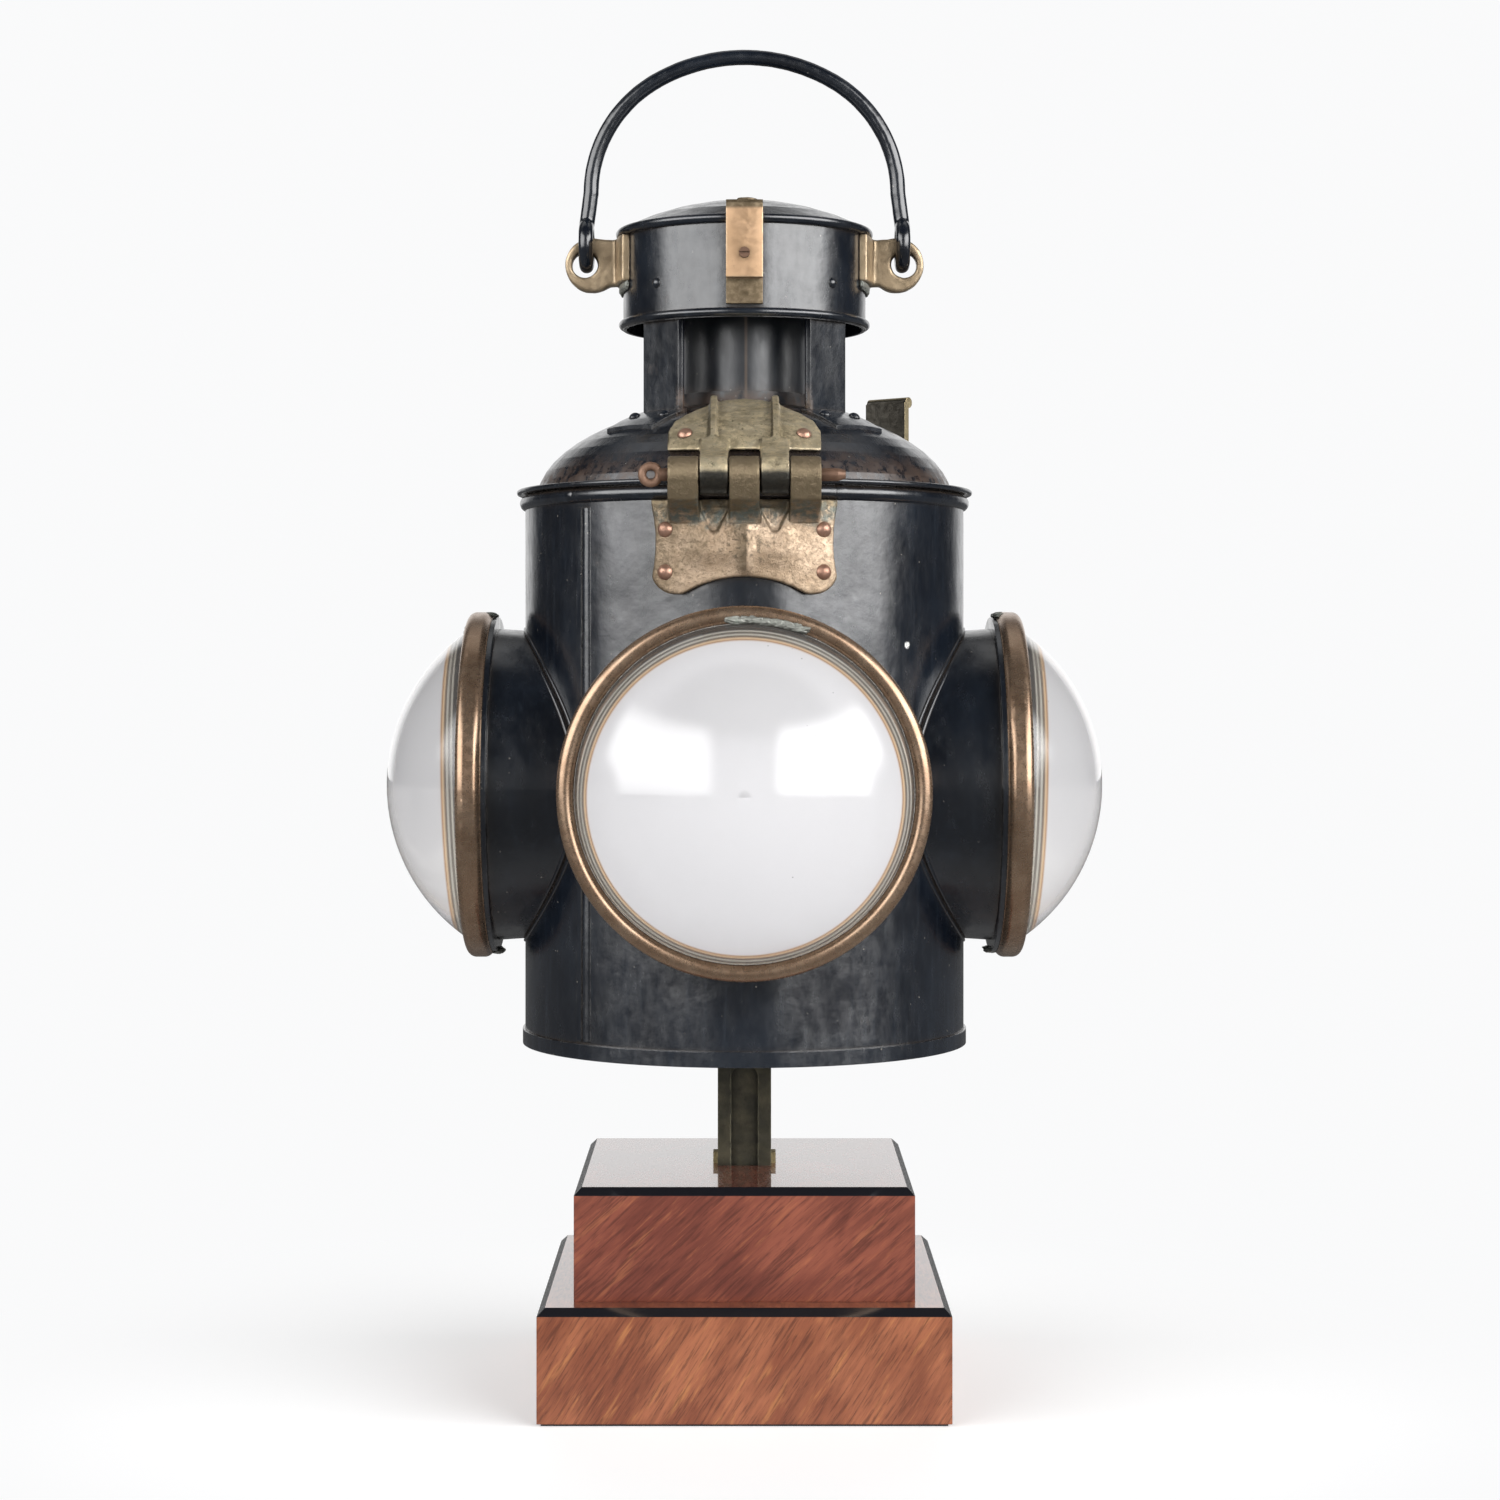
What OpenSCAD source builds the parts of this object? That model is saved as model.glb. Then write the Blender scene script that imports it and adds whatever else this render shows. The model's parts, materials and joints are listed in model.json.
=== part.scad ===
// Four-lens railway lantern standing on a two-step timber plinth.
// Origin: centre of the underside. +Z is up, -Y is the hinge side, lenses look along -Y, +X, +Y and -X.

/* [Plinth] */
// Side of the lower block
lower_w = 159; // [140:1:180]
// Side of the upper block
upper_w = 132; // [110:1:138]
// Height of each block
block_h = 44; // [30:1:60]
// Bevel along the top edges of the blocks
block_bevel = 3; // [1:0.5:6]
// Thickness of the felt under the plinth
felt_t = 1; // [0.5:0.5:3]

/* [Stem] */
// Side of the square stem
stem_w = 21.6; // [16:0.2:28]
// Free height of the stem between plinth and lamp
stem_gap = 46; // [35:1:80]
// Width of the groove in the stem's front and back
groove_w = 11; // [6:0.5:13]

/* [Body] */
// Outer radius of the sheet body
body_r = 89.2; // [86:0.1:92]
// Height of the body from base pan to rim
body_h = 221.5; // [215:0.5:240]
// Sheet thickness of body, hoods and lid
sheet_t = 1.2; // [0.8:0.1:1.5]

/* [Lenses] */
// Height of the lens axes above the base pan
lens_up = 104.5; // [100:0.5:110]
// Radius of a hood where it leaves the body
hood_r = 61; // [56:0.5:61]
// Outer radius of a bezel
bezel_r = 70.2; // [69:0.1:72]
// Distance from the lamp axis to the front of a bezel
bezel_front = 112; // [110:0.5:114]
// Radius of the lens face
lens_sphere_r = 76; // [74:1:80]
// Distance from the lamp axis to the lens apex
lens_apex = 145.5; // [144:0.5:147]

/* [Lid and vent] */
// Outer radius of the lid flange
lid_r = 92.7; // [92:0.1:93]
// Half width of the lid dome
dome_a = 85; // [83:0.5:86]
// Height of the full dome ellipse
dome_b = 41; // [38:0.5:44]
// Radius of the neck tube
neck_r = 25; // [22:0.5:26]
// Outer radius of the vent drum
drum_r = 49.4; // [49:0.1:50]
// Height of the vent drum
drum_h = 37; // [35:0.5:40]

/* [Bail] */
// Radius of the bail rod
rod_r = 3.15; // [2.8:0.05:3.2]
// Half width between the centrelines of the bail
bail_half_w = 62.6; // [62:0.1:63]
// Radius of the closed loop at each end
loop_r = 8; // [7.9:0.1:8.2]

/* [Hinge] */
// Radius of the hinge pin
pin_r = 2.5; // [2:0.1:2.8]
// Radius of the hinge knuckles
knuckle_r = 7; // [6:0.1:7]
// Width of one knuckle of the body leaf
knuckle_w = 11.6; // [10:0.1:12]
// Width of one lug of the lid leaf
lid_lug_w = 10.6; // [9:0.1:10.8]
// Spacing between the knuckles of the body leaf
knuckle_step = 23; // [22.8:0.1:24]

/* [Burner] */
// Radius of the oil fount
fount_r = 58; // [45:1:62]
// Height of the oil fount
fount_h = 27; // [20:1:30]
// Radius of the toothed wheels that lift the wick
wheel_r = 3.7; // [3:0.1:4]

/* [Hidden] */
$fn = 96;
eps = 0.01;
running_gap = 0.05;

// Heights
lower_top = felt_t + block_h;
upper_top = lower_top + block_h;
flange_under = upper_top + stem_gap - 0.2;
body_base = upper_top + stem_gap + 3.5;
body_top = body_base + body_h;
lens_z = body_base + lens_up;
flange_z = body_top + 0.3;
flange_t = 2;
flange_top = flange_z + flange_t;
dome_z = flange_top - 5.3;
drum_z = dome_z + 71;
drum_top = drum_z + drum_h;
cap_t = 3.5;
cap_top = drum_top + 15.3;

// Bolt, wedges and rivets that hold the stem
bolt_r = 4;
bolt_hole_r = 4.4;
counterbore_r = 12;
counterbore_top = felt_t + 11;
tenon_z = lower_top + 16;
wedge_t = 1.9;
wedge_w = 8;
wedge_low = upper_top - 9;
wedge_top = upper_top + 4.4;
pan_rivet_x = 27;
pan_rivet_y = 15;

// Body sheet, its rib and seam, and the base pan
pan_t = 1.5;
band_h = 6;
rib_angle = -43.2;
seam_angle = -46;
rib_low = body_base + band_h + 1;
rib_high = body_top - 8;
rim_bead_h = 6;

// Hood, packing, lens and bezel, as distances from the lamp axis
hood_start = 64;
hood_end = 102;
hood_flange_t = 2;
hood_front_r = hood_r + 2.5;
hood_flange_r = 68;
packing_t = 0.8;
lens_edge_r = 66;
lens_edge_front = 106.2;
lens_body_r = 63.3;
bezel_in_r = 63.5;
side_angles = [0, 90, 180, 270];
front_side = 0;
right_side = 1;
rear_side = 2;
left_side = 3;

// Rivet heads sit this deep in a curved face
head_seat = 0.05;

// Hinge line
pin_y = -(lid_r + knuckle_r + 0.5);
pin_z = flange_top + 0.3;
leaf_t = 3.7;
leaf_top = body_top - 6;
leaf_half_w = 35.4;
leaf_lobe_r = 9.5;
leaf_bottom = leaf_top - 36;
leaf_rivet_x = 29;
leaf_rivet_head_r = 3;
leaf_rivet_z = [leaf_top - 11.4, leaf_top - 27.6];
lid_leaf_t = 2.8;
lid_leaf_low = flange_top + 11.2;
lid_rivet_angle = 18;
lid_rivet_t = 31.3;

// Lid and neck
neck_t = acos(neck_r / dome_a);
neck_low = dome_z + 34;
neck_top = drum_z + 24;
collar_top = dome_z + 44;
skirt_gap = 0.5;
skirt_h = 6;

// Vent
stanchion_r = 47;
stanchion_w = 20;
stanchion_t = 2;
stanchion_top = drum_z + 24;
foot_t = 1.6;
foot_out = 64;
foot_w = 26;
foot_rivet_t = 51;
drum_rivet_z = drum_z + 15;
clip_w = 14.4;
clip_rim_clear = 52.5;
clip_t = 1.6;
clip_out = clip_rim_clear + clip_t;
clip_screw_head_r = 2.1;
clip_screw_z = drum_z + 24.5;
cap_sphere_r = 111.8;

// Lugs and bail
lug_z = drum_z + 26.5;
lug_eye_x = 62;
lug_eye_r = 11;
lug_hole_x = 65;
lug_hole_r = 5.2;
lug_t = 7;
loop_x = 64.4;
loop_rod_r = rod_r - 0.15;
bail_z = lug_z + 8;
arch_z = bail_z + 21.5;
side_arc_r = 53;
side_arc_x = bail_half_w - side_arc_r;
top_arc_drop = 16.4;
top_arc_r = side_arc_r + sqrt(pow(side_arc_x, 2) + pow(top_arc_drop, 2));
arc_meet = atan(side_arc_x / top_arc_drop);

// Catch
catch_angle = 140;
catch_r = 94.5;
catch_w = 21;
catch_t = 3;
catch_pin_r = 2;
catch_axis_r = 96;
catch_axis_z = body_top - 12;
catch_top = dome_z + 50.2;
catch_rivet_z = catch_axis_z - 11;
catch_rivet_angle = 5;
catch_rivet_head_r = 2.6;
catch_base_t = 2;

// Burner
fount_z = body_base + pan_t;
fount_top = fount_z + fount_h;
mouth_r = 12;
fount_wall = 1;
deck_z = fount_top + 8;
wick_w = 16;
wick_t = 2;
wick_gap = 0.3;
tube_wall = 1;
tube_top = deck_z + 31;
spindle_r = 1.2;
spindle_y = -(wick_t / 2 + wick_gap + wheel_r);
spindle_z = deck_z + 9;
cone_r = 16.8;
cone_top = deck_z + 42;
knob_x = 30;
filler_x = -38;

// A point on the dome ellipse grown by off, at t degrees above the base
function dome_point(off, t) = [(dome_a + off) * cos(t), dome_z + (dome_b + off) * sin(t)];

// Height of the vent cap's outer face at distance r from the lamp axis
function cap_face(r) = cap_top - cap_sphere_r + sqrt(pow(cap_sphere_r, 2) - pow(r, 2));

// Everything under the dome ellipse grown by off
module dome_solid(off) {
    angles = concat([for (t = [0 : 6 : 72]) t], [neck_t, 78, 84]);
    rotate_extrude()
        polygon(concat([[0, dome_z]], [for (t = angles) dome_point(off, t)], [[0, dome_z + dome_b + off]]));
}

// Turns a piece drawn along +Z so that it points out of one of the four lens sides
module on_side(side) {
    translate([0, 0, lens_z])
        rotate([0, 0, side_angles[side]])
            rotate([90, 0, 0])
                children();
}

// A straight ring along +Z
module tube(r_out, r_in, h) {
    difference() {
        cylinder(r = r_out, h = h);
        translate([0, 0, -1]) cylinder(r = r_in, h = h + 2);
    }
}

// A rivet along +Z: its seat is at z = 0, its shank runs down by grip, its tail is below that
module rivet(head_r, shank_r, grip, tail = 1) {
    overlap = min(tail, eps);
    intersection() {
        translate([0, 0, -head_r * 0.5]) sphere(r = head_r * 1.12);
        cylinder(r = head_r, h = head_r);
    }
    translate([0, 0, -grip - overlap]) cylinder(r = shank_r, h = grip + overlap + eps);
    if (tail > 0)
        translate([0, 0, -grip - tail]) cylinder(r = shank_r * 1.5, h = tail);
}

// What a rivet or screw takes out: a hole, and a flat seat for its head from the height seat up
module rivet_hole(head_r, shank_r, seat) {
    cylinder(r = shank_r, h = 20);
    translate([0, 0, seat]) cylinder(r = head_r + eps, h = 6);
}

// Places a piece on the body wall, its +Z pointing straight out, at a compass angle and height
module on_wall(angle, r, z) {
    rotate([0, 0, angle])
        translate([0, -r, z])
            rotate([90, 0, 0])
                children();
}

// Places a piece on the dome grown by off, its +Z along the dome's normal
module on_dome(angle, t, off) {
    p = dome_point(off, t);
    tilt = atan2(cos(t) / (dome_a + off), sin(t) / (dome_b + off));
    rotate([0, 0, angle])
        translate([0, -p[0], p[1]])
            rotate([tilt, 0, 0])
                children();
}

// A square block with bevelled top edges
module bevelled_block(w, h) {
    difference() {
        translate([-w / 2, -w / 2, 0]) cube([w, w, h]);
        for (a = [0 : 90 : 270])
            rotate([0, 0, a])
                translate([0, -w / 2, h])
                    rotate([45, 0, 0])
                        cube([w + 2, block_bevel * sqrt(2), block_bevel * sqrt(2)], center = true);
    }
}

// A rectangle with round corners, drawn without offset so that it stays exact
module round_rect(w, d, r) {
    square([w - 2 * r, d], center = true);
    square([w, d - 2 * r], center = true);
    for (x = [-1, 1], y = [-1, 1])
        translate([x * (w / 2 - r), y * (d / 2 - r)]) circle(r = r);
}

// ---- Plinth and stem ----

module felt_pad() {
    color("dimgray")
        translate([-lower_w / 2 + 1.5, -lower_w / 2 + 1.5, 0])
            cube([lower_w - 3, lower_w - 3, felt_t]);
}

module plinth_lower() {
    color([0.5, 0.26, 0.18])
        difference() {
            translate([0, 0, felt_t]) bevelled_block(lower_w, block_h);
            translate([0, 0, felt_t - 1]) cylinder(r = counterbore_r, h = counterbore_top - felt_t + 1);
            cylinder(r = bolt_hole_r, h = lower_top + 1);
        }
}

module plinth_upper() {
    color([0.46, 0.22, 0.15])
        difference() {
            translate([0, 0, lower_top]) bevelled_block(upper_w, block_h);
            translate([0, 0, lower_top - 1]) cylinder(r = bolt_hole_r, h = block_h);
            translate([-stem_w / 2, -stem_w / 2, tenon_z]) cube([stem_w, stem_w, block_h]);
            wedge_blocks(wedge_low);
        }
}

module wedge_blocks(low) {
    for (s = [-1, 1])
        translate([s * (stem_w + wedge_t) / 2, 0, (low + wedge_top) / 2])
            cube([wedge_t, wedge_w, wedge_top - low], center = true);
}

module stem_wedges() {
    color([0.35, 0.3, 0.2])
        wedge_blocks(wedge_low);
}

module stem_bolt() {
    color("dimgray") {
        translate([0, 0, counterbore_top - 7.5]) cylinder(r = 7.5, h = 5.5, $fn = 6);
        translate([0, 0, counterbore_top - 3]) cylinder(r = bolt_r, h = tenon_z + 21 - counterbore_top);
    }
}

module stem_washer() {
    color("gray")
        translate([0, 0, counterbore_top - 2]) tube(11, bolt_r, 2);
}

module stem_groove() {
    depth = 3;
    groove_top = flange_under - 4.9 - groove_w / 2;
    translate([0, 0, -tenon_z])
        translate([-groove_w / 2, -stem_w / 2 - 1, wedge_low])
            cube([groove_w, depth + 1, groove_top - wedge_low]);
    translate([0, depth - stem_w / 2, groove_top - tenon_z])
        rotate([90, 0, 0])
            cylinder(r = groove_w / 2, h = depth + 1);
}

module stem() {
    color([0.16, 0.16, 0.11]) {
        difference() {
            translate([-stem_w / 2, -stem_w / 2, tenon_z])
                cube([stem_w, stem_w, body_base - tenon_z]);
            translate([0, 0, tenon_z - 1]) cylinder(r = bolt_r, h = 19);
            for (a = [0, 180])
                translate([0, 0, tenon_z]) rotate([0, 0, a]) stem_groove();
        }
        difference() {
            union() {
                translate([0, 0, flange_under]) linear_extrude(height = 2) round_rect(60, 36, 6);
                translate([0, 0, body_base - 2]) linear_extrude(height = 2) round_rect(68, 46, 8);
            }
            pan_rivet_shanks();
        }
    }
}

module pan_rivet_shanks() {
    for (x = [-1, 1], y = [-1, 1])
        translate([x * pan_rivet_x, y * pan_rivet_y, flange_under - 5]) cylinder(r = 2, h = 15);
}

module stem_rivets() {
    color("dimgray")
        for (x = [-1, 1], y = [-1, 1])
            translate([x * pan_rivet_x, y * pan_rivet_y, flange_under])
                rotate([180, 0, 0])
                    rivet(3.6, 2, fount_z - flange_under, 0);
}

// ---- Body ----

module base_pan() {
    color([0.1, 0.12, 0.15])
        difference() {
            union() {
                translate([0, 0, body_base]) cylinder(r = body_r + 1, h = pan_t);
                translate([0, 0, body_base]) tube(body_r + 1, body_r, band_h);
            }
            pan_rivet_shanks();
            for (a = [22.5 : 45 : 360])
                rotate([0, 0, a]) translate([72, 0, body_base - 1]) cylinder(r = 3, h = pan_t + 2);
        }
}

module body_shell() {
    color([0.1, 0.12, 0.15])
        difference() {
            union() {
                translate([0, 0, body_base + pan_t]) tube(body_r, body_r - sheet_t, body_h - pan_t);
                rotate([0, 0, rib_angle])
                    translate([0, -body_r + 1.3, rib_low]) cylinder(r = 2.5, h = rib_high - rib_low, $fn = 24);
                rotate([0, 0, seam_angle])
                    translate([-1, -body_r - 0.5, rib_low]) cube([3, 1, rib_high - rib_low]);
            }
            translate([0, 0, body_base]) cylinder(r = body_r - sheet_t, h = body_h + 1);
            for (side = [0 : 3])
                on_side(side) translate([0, 0, 50]) cylinder(r = hood_r - sheet_t, h = 60);
            for (side = [front_side, left_side])
                on_side(side) rib_relief();
            leaf_rivet_shanks();
            catch_rivet_shanks();
        }
}

// Clears the rib where a hood stands on the wall
module rib_relief() {
    difference() {
        translate([0, 0, 50]) cylinder(r = hood_r + 0.6, h = 60);
        translate([0, -200, 0]) rotate([-90, 0, 0]) cylinder(r = body_r, h = 400);
    }
}

module rim_bead() {
    color([0.1, 0.12, 0.15])
        rotate_extrude()
            intersection() {
                translate([body_r - 0.8, body_top - rim_bead_h / 2]) circle(r = rim_bead_h / 2);
                translate([body_r, body_top - rim_bead_h]) square([rim_bead_h, rim_bead_h]);
            }
}

// ---- Hoods, lenses and bezels ----

module hood(side) {
    color([0.1, 0.12, 0.15])
        difference() {
            on_side(side)
                difference() {
                    union() {
                        translate([0, 0, hood_start])
                            cylinder(r1 = hood_r, r2 = hood_front_r, h = hood_end - hood_start);
                        translate([0, 0, hood_end - hood_flange_t])
                            cylinder(r = hood_flange_r, h = hood_flange_t);
                    }
                    translate([0, 0, hood_start])
                        cylinder(r1 = hood_r - sheet_t, r2 = hood_front_r - sheet_t,
                                 h = hood_end - hood_start);
                    translate([0, 0, hood_start - 1]) cylinder(r = hood_r - sheet_t, h = 2);
                    translate([0, 0, hood_end - 1]) cylinder(r = hood_front_r - sheet_t, h = 2);
                }
            translate([0, 0, body_base]) cylinder(r = body_r, h = body_h);
        }
}

module lens_packing() {
    color("darkslategray")
        for (side = [0 : 3])
            on_side(side)
                translate([0, 0, hood_end]) tube(lens_edge_r, hood_front_r - sheet_t, packing_t);
}

module lens(side) {
    edge_back = hood_end + packing_t;
    color([0.9, 0.88, 0.95, 0.5])
        on_side(side)
            intersection() {
                union() {
                    translate([0, 0, edge_back]) cylinder(r = lens_edge_r, h = lens_edge_front - edge_back);
                    translate([0, 0, edge_back]) cylinder(r = lens_body_r, h = 60);
                }
                translate([0, 0, lens_apex - lens_sphere_r]) sphere(r = lens_sphere_r, $fn = 160);
            }
}

module bezel(side) {
    half = (bezel_r - bezel_in_r) / 2;
    color([0.53, 0.38, 0.28])
        on_side(side)
            rotate_extrude()
                difference() {
                    union() {
                        translate([bezel_in_r + half, hood_end + half]) circle(r = half);
                        translate([bezel_in_r + half, bezel_front - half]) circle(r = half);
                        translate([bezel_in_r, hood_end + half])
                            square([2 * half, bezel_front - hood_end - 2 * half]);
                        translate([lens_edge_r, hood_end]) square([half - 1, half]);
                    }
                    translate([0, hood_end - 1]) square([lens_edge_r, lens_edge_front - hood_end + 1]);
                }
}

// ---- Hinge ----

module leaf_rivet_shanks() {
    for (s = [-1, 1], z = leaf_rivet_z)
        on_wall(s * asin(leaf_rivet_x / body_r), body_r - 5, z)
            rivet_hole(leaf_rivet_head_r, 1.8, 5 + leaf_t - head_seat);
}

// Outline of the body leaf: two lobes below, scooped sides and a scooped lower edge
module body_leaf_outline() {
    lobe_x = leaf_half_w + 0.2 - leaf_lobe_r;
    lobe_z = leaf_bottom + leaf_lobe_r;
    difference() {
        union() {
            for (s = [-1, 1])
                translate([s * lobe_x, lobe_z]) circle(r = leaf_lobe_r);
            translate([-leaf_half_w, lobe_z]) square([2 * leaf_half_w, leaf_top - lobe_z]);
            translate([-lobe_x, leaf_bottom]) square([2 * lobe_x, leaf_lobe_r + 1]);
        }
        for (s = [-1, 1])
            translate([s * (leaf_half_w + 58.4), leaf_bottom + 20]) circle(r = 60);
        translate([0, leaf_bottom + 6.5 - 46]) circle(r = 46);
    }
}

// Pointed pocket between two knuckles
module leaf_pocket(x) {
    translate([x, 0])
        polygon([[-5.8, leaf_top + 1], [-5.8, leaf_top - 3], [-3.4, leaf_top - 8],
                 [-1.6, leaf_top - 11.8], [0, leaf_top - 12.8], [1.6, leaf_top - 11.8],
                 [3.4, leaf_top - 8], [5.8, leaf_top - 3], [5.8, leaf_top + 1]]);
}

module knuckle_arm(x) {
    translate([x + knuckle_w / 2, 0, 0])
        rotate([0, -90, 0])
            linear_extrude(height = knuckle_w)
                polygon([[leaf_top - 9, -body_r + 4], [leaf_top - 9, -body_r - leaf_t - 0.4],
                         [leaf_top - 5, -body_r - leaf_t - 2.6], [leaf_top - 1, pin_y - 3.4],
                         [leaf_top + 4, pin_y - 5.8], [pin_z, pin_y - knuckle_r],
                         [pin_z, pin_y + knuckle_r], [leaf_top, pin_y + knuckle_r],
                         [leaf_top, -body_r + 4]]);
}

module hinge_body_leaf() {
    color([0.66, 0.5, 0.38])
        difference() {
            union() {
                intersection() {
                    rotate([90, 0, 0]) linear_extrude(height = 120) body_leaf_outline();
                    cylinder(r = body_r + leaf_t, h = body_top);
                }
                for (x = [-knuckle_step, 0, knuckle_step]) {
                    knuckle_arm(x);
                    translate([x - knuckle_w / 2, pin_y, pin_z])
                        rotate([0, 90, 0]) cylinder(r = knuckle_r, h = knuckle_w);
                }
            }
            cylinder(r = body_r, h = body_top + 50);
            for (s = [-1, 1])
                intersection() {
                    rotate([90, 0, 0]) linear_extrude(height = 120) leaf_pocket(s * knuckle_step / 2);
                    translate([0, 0, leaf_bottom])
                        tube(body_r + 30, body_r + leaf_t - 1.4, body_top - leaf_bottom);
                }
            translate([-50, pin_y, pin_z]) rotate([0, 90, 0]) cylinder(r = pin_r, h = 100);
            leaf_rivet_shanks();
        }
}

module hinge_body_rivets() {
    color([0.72, 0.5, 0.4])
        for (s = [-1, 1], z = leaf_rivet_z)
            on_wall(s * asin(leaf_rivet_x / body_r), body_r + leaf_t - head_seat, z)
                rivet(leaf_rivet_head_r, 1.8, leaf_t + sheet_t + 0.1);
}

module hinge_pin() {
    color([0.35, 0.24, 0.18]) {
        translate([-32, pin_y, pin_z]) rotate([0, 90, 0]) cylinder(r = pin_r, h = 67);
        translate([35 - eps, pin_y, pin_z]) rotate([0, 90, 0]) cylinder(r1 = pin_r, r2 = 1.6, h = 3);
        translate([-35.2, pin_y, pin_z])
            rotate([90, 0, 0])
                rotate_extrude() translate([3.2, 0]) circle(r = 1.6);
    }
}

// Outline of the lid leaf, as seen from the front
module lid_leaf_outline() {
    half = [[29.5, lid_leaf_low], [29.5, dome_z + 24.5], [27, dome_z + 29], [21, dome_z + 33],
            [15, dome_z + 36], [8, dome_z + 39.2], [0, dome_z + 40.2]];
    polygon(concat(half, [for (i = [len(half) - 1 : -1 : 0]) [-half[i][0], half[i][1]]]));
}

module lid_leaf_arm(x) {
    translate([x + lid_lug_w / 2, 0, 0])
        rotate([0, -90, 0])
            linear_extrude(height = lid_lug_w)
                polygon([[flange_top, pin_y + 4], [pin_z, pin_y], [pin_z + knuckle_r, pin_y],
                         [pin_z + knuckle_r + 2, pin_y + 9], [flange_top + 12.5, pin_y + 17],
                         [flange_top + 16, pin_y + 22], [flange_top + 16, pin_y + 27],
                         [flange_top, pin_y + 27]]);
}

// Knuckle of the lid leaf: round over the pin, square underneath
module lid_leaf_lug(x) {
    translate([x - lid_lug_w / 2, pin_y, pin_z]) {
        rotate([0, 90, 0]) cylinder(r = knuckle_r, h = lid_lug_w);
        translate([0, -4, -7.6]) cube([lid_lug_w, 7, 7.6]);
    }
}

module hinge_lid_leaf() {
    color([0.45, 0.4, 0.28])
        difference() {
            union() {
                intersection() {
                    dome_solid(lid_leaf_t);
                    rotate([90, 0, 0]) linear_extrude(height = 120) lid_leaf_outline();
                }
                for (s = [-1, 1]) {
                    lid_leaf_arm(s * knuckle_step / 2);
                    lid_leaf_lug(s * knuckle_step / 2);
                    intersection() {
                        dome_solid(lid_leaf_t + 2);
                        translate([s * 12.2 - 1.4, -120, flange_top + 8]) cube([2.8, 120, dome_b - 13]);
                    }
                }
            }
            dome_solid(0);
            cylinder(r = neck_r + 5, h = 600);
            translate([-50, pin_y, pin_z]) rotate([0, 90, 0]) cylinder(r = pin_r + running_gap, h = 100);
            lid_leaf_rivet_shanks();
        }
}

module lid_leaf_rivet_shanks() {
    for (s = [-1, 1])
        on_dome(s * lid_rivet_angle, lid_rivet_t, 0) translate([0, 0, -6]) cylinder(r = 1.8, h = 14);
}

module hinge_lid_rivets() {
    color([0.72, 0.5, 0.4])
        for (s = [-1, 1])
            on_dome(s * lid_rivet_angle, lid_rivet_t, 0)
                translate([0, 0, lid_leaf_t - 0.1]) rivet(3, 1.8, lid_leaf_t + sheet_t + 0.2);
}

// ---- Catch ----

module at_catch() {
    rotate([0, 0, catch_angle]) children();
}

module at_catch_rivets(r) {
    for (s = [-1, 1])
        at_catch() on_wall(s * catch_rivet_angle, r, catch_rivet_z) children();
}

module catch_rivet_shanks() {
    at_catch_rivets(body_r - 5) rivet_hole(catch_rivet_head_r, 1.5, 5 + catch_base_t - head_seat);
}

module catch_bracket() {
    ear_t = 2.5;
    ear_x = catch_w / 2 + 0.4;
    color([0.4, 0.34, 0.22])
        difference() {
            union() {
                at_catch() intersection() {
                    translate([-ear_x - ear_t, -body_r - 2, catch_axis_z - 16])
                        cube([2 * (ear_x + ear_t), 30, 21]);
                    cylinder(r = body_r + catch_base_t, h = body_top);
                }
                for (s = [-1, 1])
                    at_catch() translate([s * (ear_x + ear_t / 2), 0, catch_axis_z])
                        rotate([0, 90, 0]) {
                            translate([0, -catch_axis_r, 0]) cylinder(r = 4.5, h = ear_t, center = true);
                            translate([0, -catch_axis_r + 6, 0]) cube([9, 12, ear_t], center = true);
                        }
            }
            cylinder(r = body_r, h = body_top + 10);
            at_catch() translate([-30, -catch_axis_r, catch_axis_z])
                rotate([0, 90, 0]) cylinder(r = catch_pin_r, h = 60);
            catch_rivet_shanks();
        }
}

module catch_rivets() {
    color([0.5, 0.36, 0.28])
        at_catch_rivets(body_r + catch_base_t - head_seat)
            rivet(catch_rivet_head_r, 1.5, sheet_t + catch_base_t + 0.2);
}

module catch_pin() {
    color("dimgray")
        at_catch() translate([-15.2, -catch_axis_r, catch_axis_z])
            rotate([0, 90, 0]) cylinder(r = catch_pin_r, h = 30.4);
}

module catch_lever() {
    roll_r = 2.3;
    color([0.42, 0.38, 0.26])
        at_catch() difference() {
            union() {
                translate([-catch_w / 2, -catch_axis_r, catch_axis_z])
                    rotate([0, 90, 0]) cylinder(r = 4, h = catch_w);
                translate([-catch_w / 2, -catch_r - catch_t, catch_axis_z])
                    cube([catch_w, catch_t, catch_top - catch_axis_z - roll_r]);
                translate([-catch_w / 2, -catch_r - catch_t, catch_top - roll_r])
                    rotate([0, 90, 0]) cylinder(r = roll_r, h = catch_w);
                translate([-3, -catch_r - eps, flange_z - 0.5]) cube([6, catch_r - lid_r - 0.4, 4]);
            }
            translate([-catch_w, -catch_axis_r, catch_axis_z])
                rotate([0, 90, 0]) cylinder(r = catch_pin_r + running_gap, h = 2 * catch_w);
        }
}

// ---- Lid and vent ----

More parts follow.
